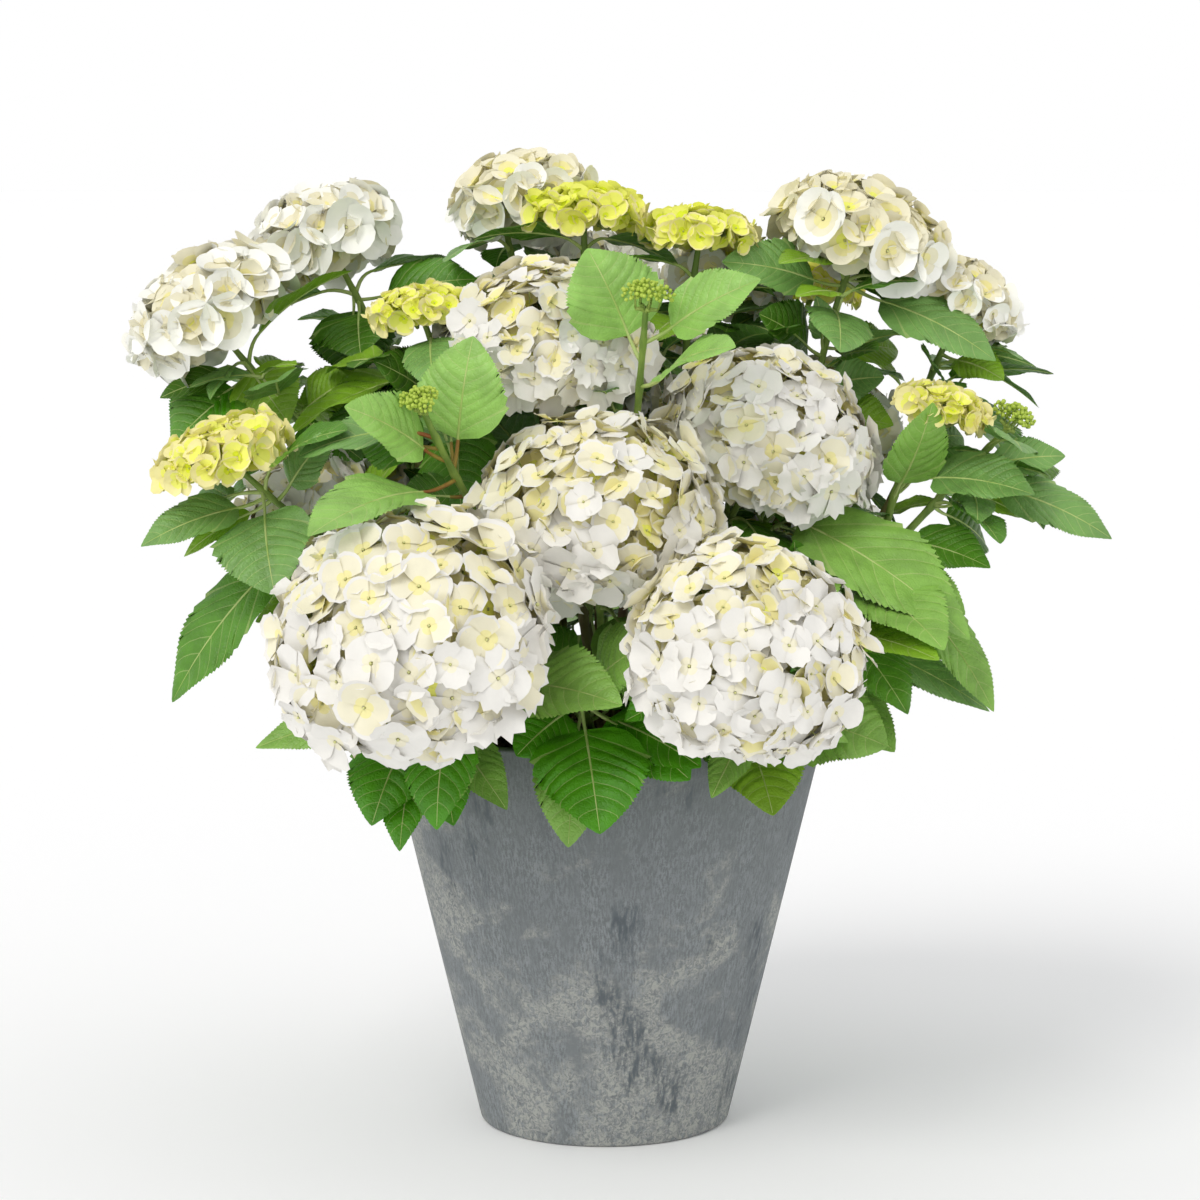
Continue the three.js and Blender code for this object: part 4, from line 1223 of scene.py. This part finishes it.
# A petal's columns in the outer and the inner layer, half its spread in degrees, how far its sides fall short
# of its middle, how rough and how toothed its margin is, its cup and how the cup varies, its wave, and its
# lift in degrees.
PETAL_SHAPES = {
    "open": dict(
        columns=(10, 6), spread=54, notch=0.28, rough=0.036, tooth=0.115, cup=(0.10, 0.24), wave=0.085, lift=4
    ),
    "young": dict(
        columns=(8, 5), spread=56, notch=0.20, rough=0.010, tooth=0.0, cup=(0.28, 0.14), wave=0.034, lift=10
    ),
    "lime": dict(
        columns=(6, 5), spread=56, notch=0.26, rough=0.020, tooth=0.0, cup=(0.30, 0.22), wave=0.060, lift=12
    ),
}


def square_axes(ways):
    """Two unit vectors for each way that are square to it and to each other."""
    helper = np.eye(3)[np.argmin(np.abs(ways), axis=1)]
    level = unit(np.cross(helper, ways))
    return level, np.cross(ways, level)


def petal_grids(centres, ways, sizes, ruffle, kind, layer, draw):
    """Florets of four petals, each a fan in polar form round the floret's eye.

    A petal's point is at reach = size * r * (1 - notch |c|^2.4) and turn = c * spread, and its margin is
    rough, with every other column standing out as a tooth.
    Its height is cup r^2 plus a slope across, by which each petal lies over the next one, plus a wave that
    grows towards the margin, and the whole petal is lifted from the floret's plane.
    """
    shape = PETAL_SHAPES[kind]
    count = len(centres)
    columns = np.linspace(-1, 1, shape["columns"][layer])
    ruffle = ruffle[:, None, None, None]
    r, c = np.meshgrid(PETAL_ROWS, columns, indexing="ij")

    def each(low, high):
        return draw.uniform(low, high, (count, 4, 1, 1))

    outline = 1 - shape["notch"] * np.abs(c) ** 2.4
    tooth = np.where(np.arange(len(columns)) % 2 == 0, 1, -1) * each(0.0, shape["tooth"])
    rough = (draw.normal(0, shape["rough"], (count, 4, 1, len(columns))) + tooth) * r**8 * ruffle
    size = sizes[:, None, None, None] * each(*PETAL_CHANCES["size"])
    reach = size * r * (outline + rough)
    turn = c * math.radians(shape["spread"]) * each(*PETAL_CHANCES["turn"])
    cup, vary = shape["cup"]
    phase = each(*PETAL_CHANCES["waves"]) * c + each(*PETAL_CHANCES["phase"])
    wave = ruffle * shape["wave"] * np.sin(math.pi * phase) * r**3
    slope = draw.choice([-PETAL_SLOPE, PETAL_SLOPE], (count, 1, 1, 1)) * np.sin(turn) * r
    height = size * (each(cup - vary, cup + vary) * r**2 + wave + slope - PETAL_FOLD * np.abs(c) * r)
    lift = math.radians(shape["lift"]) + each(*PETAL_CHANCES["lift"])
    out = reach * np.cos(turn)
    u = out * np.cos(lift) - height * np.sin(lift)
    w = out * np.sin(lift) + height * np.cos(lift)
    v = reach * np.sin(turn)
    quarter = np.arange(4)[:, None, None] * math.pi / 2
    heading = draw.uniform(0, 2 * math.pi, (count, 1, 1, 1)) + quarter + each(*PETAL_CHANCES["heading"])
    x = u * np.cos(heading) - v * np.sin(heading)
    y = u * np.sin(heading) + v * np.cos(heading)
    level, raised = square_axes(ways)
    parts = ((x, level), (y, raised), (w, ways))
    places = sum(part[..., None] * axis[:, None, None, None, :] for part, axis in parts)
    return (centres[:, None, None, None, :] + places).reshape(count * 4, *r.shape, 3)


def ball_grids(centres, ways, radii, sides):
    """Small round balls of four rings: rings of radius sin a at height cos a, round each way."""
    angle = np.linspace(0, math.pi, 4)
    paths = centres[:, None, :] - ways[:, None, :] * (radii[:, None] * np.cos(angle))[..., None]
    level, raised = square_axes(ways)
    around = -np.arange(sides) * 2 * math.pi / sides
    ring = np.cos(around)[:, None] * level[:, None, :] + np.sin(around)[:, None] * raised[:, None, :]
    return paths[:, :, None, :] + (radii[:, None] * np.sin(angle))[..., None, None] * ring[:, None, :, :]


RAY_FORKS = 7
# Where the rays start below the stem's end in metres; how far out and down their forks stand, as shares of
# the head's radius; how much lower the outer ones stand; and how the rays bend.
RAYS = {"seat": 0.004, "out": 0.5, "down": 0.12, "lower": 0.25, "bend": 0.45, "onward": 0.6}
THICK_RAY = {"steps": 5, "sides": 5, "radii": (0.0021, 0.0015)}
THIN_RAY = {"steps": 4, "sides": 3, "radii": (0.0010, 0.0006)}


def ray_grids(head, centres):
    """Rays under a head: thick ones from the stem's end to forks, and thin ones from the forks to florets.

    Each is a limb on a quadratic Bezier that leaves along the head's axis and bends outwards. The forks
    stand by the golden angle within half the head's radius, and a floret's ray leaves the nearest.
    """
    hub = head["base"] - RAYS["seat"] * head["axis"]
    reach = head["width"] / 2
    index = np.arange(RAY_FORKS)
    out = reach * RAYS["out"] * np.sqrt((index + 0.5) / RAY_FORKS)
    east = perpendicular(head["axis"], 0)
    beside = fan(out, index * GOLDEN_ANGLE, east, np.cross(head["axis"], east))
    down = RAYS["down"] * reach + RAYS["lower"] * out
    forks = head["centre"] + beside - down[:, None] * head["axis"]

    def limbs(starts, ends, form):
        gaps = np.linalg.norm(ends - starts, axis=1)[:, None]
        onward = RAYS["onward"] * unit(ends - starts)
        bends = starts + RAYS["bend"] * gaps * unit(head["axis"] + onward)
        paths = paths_on(np.stack([starts, bends, ends], axis=1), np.linspace(0, 1, form["steps"]))
        return tubes(paths, np.linspace(*form["radii"], form["steps"]), form["sides"])

    thick = limbs(np.broadcast_to(hub, forks.shape), forks, THICK_RAY)
    gap = np.linalg.norm(centres[:, None, :] - forks[None, :, :], axis=2)
    nearest = forks[np.argmin(gap, axis=1)]
    thin = limbs(nearest, centres, THIN_RAY)
    return thick, thin


# ---- Settings ----


def colour_setting(name, description, default):
    """A colour property with a linear default."""
    return bpy.props.FloatVectorProperty(
        name=name, description=description, default=default, size=3, min=0.0, max=1.0, subtype="COLOR"
    )


class HydrangeaSizes(bpy.types.PropertyGroup):
    """How finely the pieces are made."""

    planter_sides: bpy.props.IntProperty(
        name="Planter sides", description="Steps round the planter", default=128, min=24, max=256
    )
    cane_sides: bpy.props.IntProperty(
        name="Cane sides", description="Steps round a cane or stem", default=10, min=4, max=24
    )
    camera_lens: bpy.props.FloatProperty(
        name="Lens", description="The camera's focal length", default=109.8, min=20.0, unit="CAMERA"
    )
    camera_height: bpy.props.FloatProperty(
        name="Camera height", description="How high the camera stands", default=0.83, unit="LENGTH"
    )
    camera_distance: bpy.props.FloatProperty(
        name="Camera distance", description="How far in front the camera stands", default=3.0, unit="LENGTH"
    )
    camera_pitch: bpy.props.FloatProperty(
        name="Camera pitch", description="How far it looks down", default=math.radians(7.48), subtype="ANGLE"
    )


class HydrangeaColours(bpy.types.PropertyGroup):
    """The colours of the planter and the plant."""

    planter: colour_setting("Planter", "Composite of the planter", linear(127, 132, 134))
    planter_light: colour_setting("Planter patches", "Feathered light patches", linear(167, 168, 162))
    planter_dark: colour_setting("Planter runs", "Dark upright runs", linear(88, 95, 100))
    vein: colour_setting("Vein", "Veins and leaf stalks", linear(186, 204, 128))
    leaf_deep: colour_setting("Deep leaf", "Shaded leaves", linear(76, 124, 26))
    leaf_mid: colour_setting("Mid leaf", "Most leaves", linear(90, 146, 38))
    leaf_fresh: colour_setting("Fresh leaf", "Yellow-green leaves", linear(138, 184, 46))
    leaf_blue: colour_setting("Blue leaf", "Grey-green leaves", linear(122, 168, 86))
    leaf_pale: colour_setting("Pale leaf", "Young leaves in front", linear(150, 198, 94))
    leaf_bright: colour_setting("Bright leaf", "Leaves in full light", linear(138, 186, 80))
    leaf_rich: colour_setting("Rich leaf", "Low leaves over the rim", linear(78, 152, 10))
    petal_white: colour_setting("White petal", "Open petals", linear(239, 237, 231))
    # A lighter copy of the white petal: painted glow of light through the young heads' thin petals.
    petal_snow: colour_setting("Snow petal", "Petals just open", linear(254, 254, 248))
    petal_ivory: colour_setting("Ivory petal", "Petals half open", linear(243, 238, 212))
    # Dealt to the inner layers partly as their own cream, and partly as painted warm glow in the gaps between
    # florets.
    petal_cream: colour_setting("Cream petal", "Petals deep in a head", linear(246, 238, 172))
    petal_lime: colour_setting("Lime petal", "Young florets", linear(244, 246, 120))
    petal_green: colour_setting("Green petal", "The heart of young florets", linear(228, 240, 56))
    eye: colour_setting("Eye", "The floret's eye", linear(214, 216, 150))
    bud: colour_setting("Bud", "The skin of the buds", linear(186, 208, 88))


# ---- Operators ----


class HYDRANGEA_OT_planter(bpy.types.Operator):
    """Make the tapered planter with its brushed composite"""

    bl_idname = "hydrangea.planter"
    bl_label = "Planter"

    def execute(self, context):
        colours = context.scene.hydrangea_colours
        grid = planter_grid(context.scene.hydrangea_sizes.planter_sides, PLANTER_ROWS)
        material = planter_material(colours.planter, colours.planter_light, colours.planter_dark)
        closed_piece("planter", grid, material, "pot", ["pot"])
        return {"FINISHED"}


class HYDRANGEA_OT_soil(bpy.types.Operator):
    """Fill the planter with potting soil"""

    bl_idname = "hydrangea.soil"
    bl_label = "Soil"

    def execute(self, context):
        closed_piece("soil_fill", soil_grid(*SOIL_GRID), soil_material(), "soil", ["potting_soil"])
        return {"FINISHED"}


class HYDRANGEA_OT_wood(bpy.types.Operator):
    """Grow the woody crown and the canes, with the relief of their bark"""

    bl_idname = "hydrangea.wood"
    bl_label = "Crown and canes"

    def execute(self, context):
        closed_piece("crown_wood", crown_grid(*CROWN_GRID), bark_material(), "bark", ["crown_stem"])
        canes = cane_grids(context.scene.hydrangea_sizes.cane_sides, CANE_STEPS)
        material = stem_material("cane_bark", linear(128, 128, 74), linear(112, 88, 56))
        closed_piece("cane_wood", canes, material, "stem", [f"cane_{cane['name']}" for cane in CANES])
        return {"FINISHED"}


class HYDRANGEA_OT_stems(bpy.types.Operator):
    """Grow the shoots' green stems, and the leaf stalks that run on as midribs"""

    bl_idname = "hydrangea.stems"
    bl_label = "Stems and leaf stalks"

    def execute(self, context):
        ruddy = [shoot for shoot in SHOOTS if shoot["name"] == "bud_left"]
        green = [shoot for shoot in SHOOTS if shoot not in ruddy]
        ruddy_bark = stem_material("ruddy_stem", linear(152, 134, 58), linear(146, 88, 46))
        green_bark = stem_material("green_stem", linear(134, 160, 74), linear(104, 132, 58))
        stems = stem_grids(SHOOTS, context.scene.hydrangea_sizes.cane_sides, STEM_STEPS)
        nodes = [f"shoot_{shoot['name']}" for shoot in SHOOTS]
        closed_piece("green_stems", stems, green_bark, "leaf", nodes)
        vein = stem_material("leaf_stalk", context.scene.hydrangea_colours.vein, linear(160, 186, 98))
        gathering = Gathering()
        for shoots, is_ruddy in ((ruddy, 1), (green, 0)):
            grids = rib_grids([leaf for shoot in shoots for leaf in shoot["leaves"]], RIB_SIDES["large"])
            is_stalk = np.repeat(np.arange(grids.shape[1] - 1) <= STALK_STEPS, RIB_SIDES["large"])
            gathering.add(grids, closed=True, slots=is_stalk * is_ruddy)
        small = [leaf for shoot in SHOOTS for leaf in twig_leaves(shoot)]
        gathering.add(rib_grids(small, RIB_SIDES["small"]), closed=True)
        twigs = [twig for shoot in SHOOTS for twig in shoot["twigs"]]
        gathering.add(twig_grids(twigs, *TWIG_GRID), closed=True)
        gathering.piece("leaf_stalks", [vein, ruddy_bark], "leaf", leafed_nodes(None))
        return {"FINISHED"}


def leafed_nodes(tone):
    """The nodes of the shoots that carry leaves, of one tone where it is given."""
    return [
        f"shoot_{shoot['name']}"
        for shoot in SHOOTS
        if any(tone in (None, leaf["tone"]) for leaf in shoot["leaves"] + twig_leaves(shoot))
    ]


VEIN_SHARE = 0.44  # of the veins' own colour in a blade's veins


class HYDRANGEA_OT_leaves(bpy.types.Operator):
    """Grow the veined leaves, one piece for each tone of green"""

    bl_idname = "hydrangea.leaves"
    bl_label = "Leaves"

    def execute(self, context):
        colours = context.scene.hydrangea_colours
        large = [leaf for shoot in SHOOTS for leaf in shoot["leaves"]]
        small = [leaf for shoot in SHOOTS for leaf in twig_leaves(shoot)]
        kinds = ((FINE_BLADE, 0, large), (SMALL_BLADE, len(large), small))
        for tone in sorted({leaf["tone"] for leaf in large + small}):
            colour = np.array(getattr(colours, f"leaf_{tone}"))
            blade = leaf_material(f"leaf_{tone}", tuple(colour))
            veined = colour + VEIN_SHARE * (np.array(colours.vein) - colour)
            vein = leaf_material(f"vein_{tone}", tuple(veined))
            gathering = Gathering()
            for form, first, leaves in kinds:
                chosen = {first + i: leaf for i, leaf in enumerate(leaves) if leaf["tone"] == tone}
                if chosen:
                    slots = np.repeat(blade_rows(form)[1].astype(int), len(form["columns"]) - 1)
                    gathering.add(blade_grids(list(chosen.values()), list(chosen), form), slots=slots)
            gathering.piece(f"leaves_{tone}", [blade, vein], "leaf", leafed_nodes(tone))
        return {"FINISHED"}


PETAL_SHADES = ("white", "snow", "ivory", "cream", "lime", "green")
# Which petals a floret has by its warmth, from the coolest: the colour of each strip from heart to rim.
PETAL_FAMILIES = {
    "open": (
        ("ivory", "white", "white", "white"),
        ("cream", "ivory", "ivory", "white"),
        ("lime", "cream", "cream", "ivory"),
    ),
    # The young heads' rims take the backlit white, a painted glow of light through their petals.
    "young": (
        ("ivory", "snow", "snow", "snow"),
        ("cream", "ivory", "snow", "snow"),
        ("lime", "cream", "ivory", "ivory"),
    ),
    "lime": (
        ("lime", "lime", "cream", "cream"),
        ("green", "lime", "lime", "cream"),
        ("green", "green", "lime", "lime"),
    ),
}
WARMTH_STEPS = (0.26, 0.58)
EYE_LIFT = 0.0008
EYE_SHARE = 0.058  # of a floret's size


class HYDRANGEA_OT_blossom(bpy.types.Operator):
    """Grow the florets of every flower head, with their eyes and rays"""

    bl_idname = "hydrangea.blossom"
    bl_label = "Blossom"

    def execute(self, context):
        colours = context.scene.hydrangea_colours
        shades = {}
        for name in PETAL_SHADES:
            shades[name] = petal_material(f"petal_{name}", getattr(colours, f"petal_{name}"))
        eye = petal_material("floret_eye", colours.eye)
        # The rays' pale greens are partly their own colour and partly painted light, lightened so that the
        # shaded gaps under the florets glow.
        ray = stem_material("floret_ray", linear(206, 214, 140), linear(176, 192, 108))
        groups = {"open_low": [], "open_high": [], "back_low": [], "back_high": [], "young": [], "lime": []}
        for name, head, number in numbered_heads():
            group = head["kind"]
            if group == "open":
                side = "back" if name.startswith("back") else "open"
                group = side + ("_low" if name.startswith(("front", "back_low")) else "_high")
            if group in groups:
                groups[group].append((name, head, number))
        for group, members in groups.items():
            self.grow(group, members, shades, eye, ray)
        return {"FINISHED"}

    def grow(self, group, members, shades, eye, ray):
        """One piece of petals, one of eyes and one of rays for a group of heads."""
        kind = members[0][1]["kind"]
        families = PETAL_FAMILIES[kind]
        used = sorted({name for family in families for name in family})
        strips = np.array([[used.index(name) for name in family] for family in families])
        petals, eyes, rays = Gathering(), Gathering(), Gathering()
        for _, head, number in members:
            for layer in range(len(HEAD_KINDS[kind]["layers"])):
                draw = np.random.default_rng([number, layer])
                centres, ways, sizes, ruffle, warmth = head_florets(head, layer, draw)
                faces = np.repeat(strips, PETAL_SHAPES[kind]["columns"][layer] - 1, axis=1)
                slots = faces[np.repeat(np.digitize(warmth, WARMTH_STEPS), 4)]
                petals.add(petal_grids(centres, ways, sizes, ruffle, kind, layer, draw), slots=slots)
                if layer == 0:
                    seats = centres + EYE_LIFT * ways
                    eyes.add(ball_grids(seats, ways, EYE_SHARE * sizes, EYE_SIDES), closed=True)
                for limbs in ray_grids(head, centres):
                    rays.add(limbs, closed=True)
        nodes = sorted({f"shoot_{name}" for name, _, _ in members})
        petals.piece(f"petals_{group}", [shades[name] for name in used], "blossom", nodes)
        eyes.piece(f"eyes_{group}", [eye], "blossom", nodes)
        rays.piece(f"rays_{group}", [ray], "blossom", nodes)


class HYDRANGEA_OT_buds(bpy.types.Operator):
    """Grow the clusters of green buds on their rays"""

    bl_idname = "hydrangea.buds"
    bl_label = "Buds"

    def execute(self, context):
        colours = context.scene.hydrangea_colours
        buds, rays = Gathering(), Gathering()
        nodes = set()
        for name, head, number in numbered_heads():
            if head["kind"] == "bud":
                centres, ways, sizes = bud_places(head, np.random.default_rng(number))
                buds.add(ball_grids(centres, ways, sizes, BUD_SIDES), closed=True)
                for limbs in ray_grids(head, centres[:: BUD_CLUSTER["buds"]]):
                    rays.add(limbs, closed=True)
                nodes.add(f"shoot_{name}")
        buds.piece("bud_clusters", [petal_material("bud_skin", colours.bud)], "blossom", sorted(nodes))
        ray = stem_material("bud_ray", linear(168, 186, 96), linear(140, 164, 78))
        rays.piece("bud_rays", [ray], "blossom", sorted(nodes))
        return {"FINISHED"}


FLOOR_REACH = 40.0
FLOOR_COLOUR = (0.975, 0.980, 0.990, 1.0)
# The studio's light by the height of the way it comes from: even near the horizon, less from above.
DOME = {"From Min": 0.05, "From Max": 0.30, "To Min": 1.0, "To Max": 0.79}
KEY = {"energy": 1.08, "colour": (1.0, 0.975, 0.94), "spread": 28, "tilt": 46, "turn": -34}
CAMERA_SIDE = -0.004
SENSOR_WIDTH = 36.0


class HYDRANGEA_OT_stage(bpy.types.Operator):
    """Set the pale floor, the soft studio light and the camera"""

    bl_idname = "hydrangea.stage"
    bl_label = "Stage"

    def execute(self, context):
        scene = context.scene
        sizes = scene.hydrangea_sizes
        mesh = bpy.data.meshes.new("floor")
        corners = [(x * FLOOR_REACH, y * FLOOR_REACH, 0) for x, y in ((-1, -1), (1, -1), (1, 1), (-1, 1))]
        mesh.from_pydata(corners, [], [(0, 1, 2, 3)])
        finish = Finish("pale_floor", 0.9, 0.1)
        finish.shader.inputs["Base Color"].default_value = FLOOR_COLOUR
        mesh.materials.append(finish.material)
        floor = bpy.data.objects.new("floor", mesh)
        scene.collection.objects.link(floor)
        scene.world = bpy.data.worlds.new("studio")
        scene.world.use_nodes = True
        tree = scene.world.node_tree
        way = add_node(tree, "ShaderNodeTexCoord", {}).outputs["Generated"]
        height = add_node(tree, "ShaderNodeSeparateXYZ", {"Vector": way}).outputs["Z"]
        strength = add_node(tree, "ShaderNodeMapRange", {"Value": height, **DOME}).outputs["Result"]
        background = tree.nodes["Background"].inputs
        background["Color"].default_value = (1.0, 1.0, 1.0, 1.0)
        tree.links.new(strength, background["Strength"])
        key = bpy.data.lights.new("key", "SUN")
        key.energy = KEY["energy"]
        key.color = KEY["colour"]
        key.angle = math.radians(KEY["spread"])
        lamp = bpy.data.objects.new("key", key)
        lamp.rotation_euler = (math.radians(KEY["tilt"]), 0.0, math.radians(KEY["turn"]))
        scene.collection.objects.link(lamp)
        camera = bpy.data.cameras.new("camera")
        camera.lens = sizes.camera_lens
        camera.sensor_width = SENSOR_WIDTH
        seat = bpy.data.objects.new("camera", camera)
        seat.location = (CAMERA_SIDE, -sizes.camera_distance, sizes.camera_height)
        seat.rotation_euler = (math.pi / 2 - sizes.camera_pitch, 0.0, 0.0)
        scene.collection.objects.link(seat)
        scene.camera = seat
        scene.view_settings.view_transform = "Standard"
        return {"FINISHED"}


class HYDRANGEA_PT_panel(bpy.types.Panel):
    """The plant's settings and the buttons that make its pieces"""

    bl_label = "Hydrangea"
    bl_idname = "HYDRANGEA_PT_panel"
    bl_space_type = "VIEW_3D"
    bl_region_type = "UI"
    bl_category = "Hydrangea"

    def draw(self, context):
        for group in (context.scene.hydrangea_sizes, context.scene.hydrangea_colours):
            for name in group.__annotations__:
                self.layout.prop(group, name)
        for operator in OPERATORS:
            self.layout.operator(operator.bl_idname)


OPERATORS = (
    HYDRANGEA_OT_planter,
    HYDRANGEA_OT_soil,
    HYDRANGEA_OT_wood,
    HYDRANGEA_OT_stems,
    HYDRANGEA_OT_leaves,
    HYDRANGEA_OT_blossom,
    HYDRANGEA_OT_buds,
    HYDRANGEA_OT_stage,
)


CLASSES = (HydrangeaSizes, HydrangeaColours, *OPERATORS, HYDRANGEA_PT_panel)


def register():
    for group in CLASSES:
        bpy.utils.register_class(group)
    bpy.types.Scene.hydrangea_sizes = bpy.props.PointerProperty(type=HydrangeaSizes)
    bpy.types.Scene.hydrangea_colours = bpy.props.PointerProperty(type=HydrangeaColours)


def unregister():
    del bpy.types.Scene.hydrangea_colours
    del bpy.types.Scene.hydrangea_sizes
    for group in reversed(CLASSES):
        bpy.utils.unregister_class(group)


def main():
    register()
    bpy.ops.hydrangea.planter()
    bpy.ops.hydrangea.soil()
    bpy.ops.hydrangea.wood()
    bpy.ops.hydrangea.stems()
    bpy.ops.hydrangea.leaves()
    bpy.ops.hydrangea.blossom()
    bpy.ops.hydrangea.buds()
    bpy.ops.hydrangea.stage()


if __name__ == "__main__":
    main()
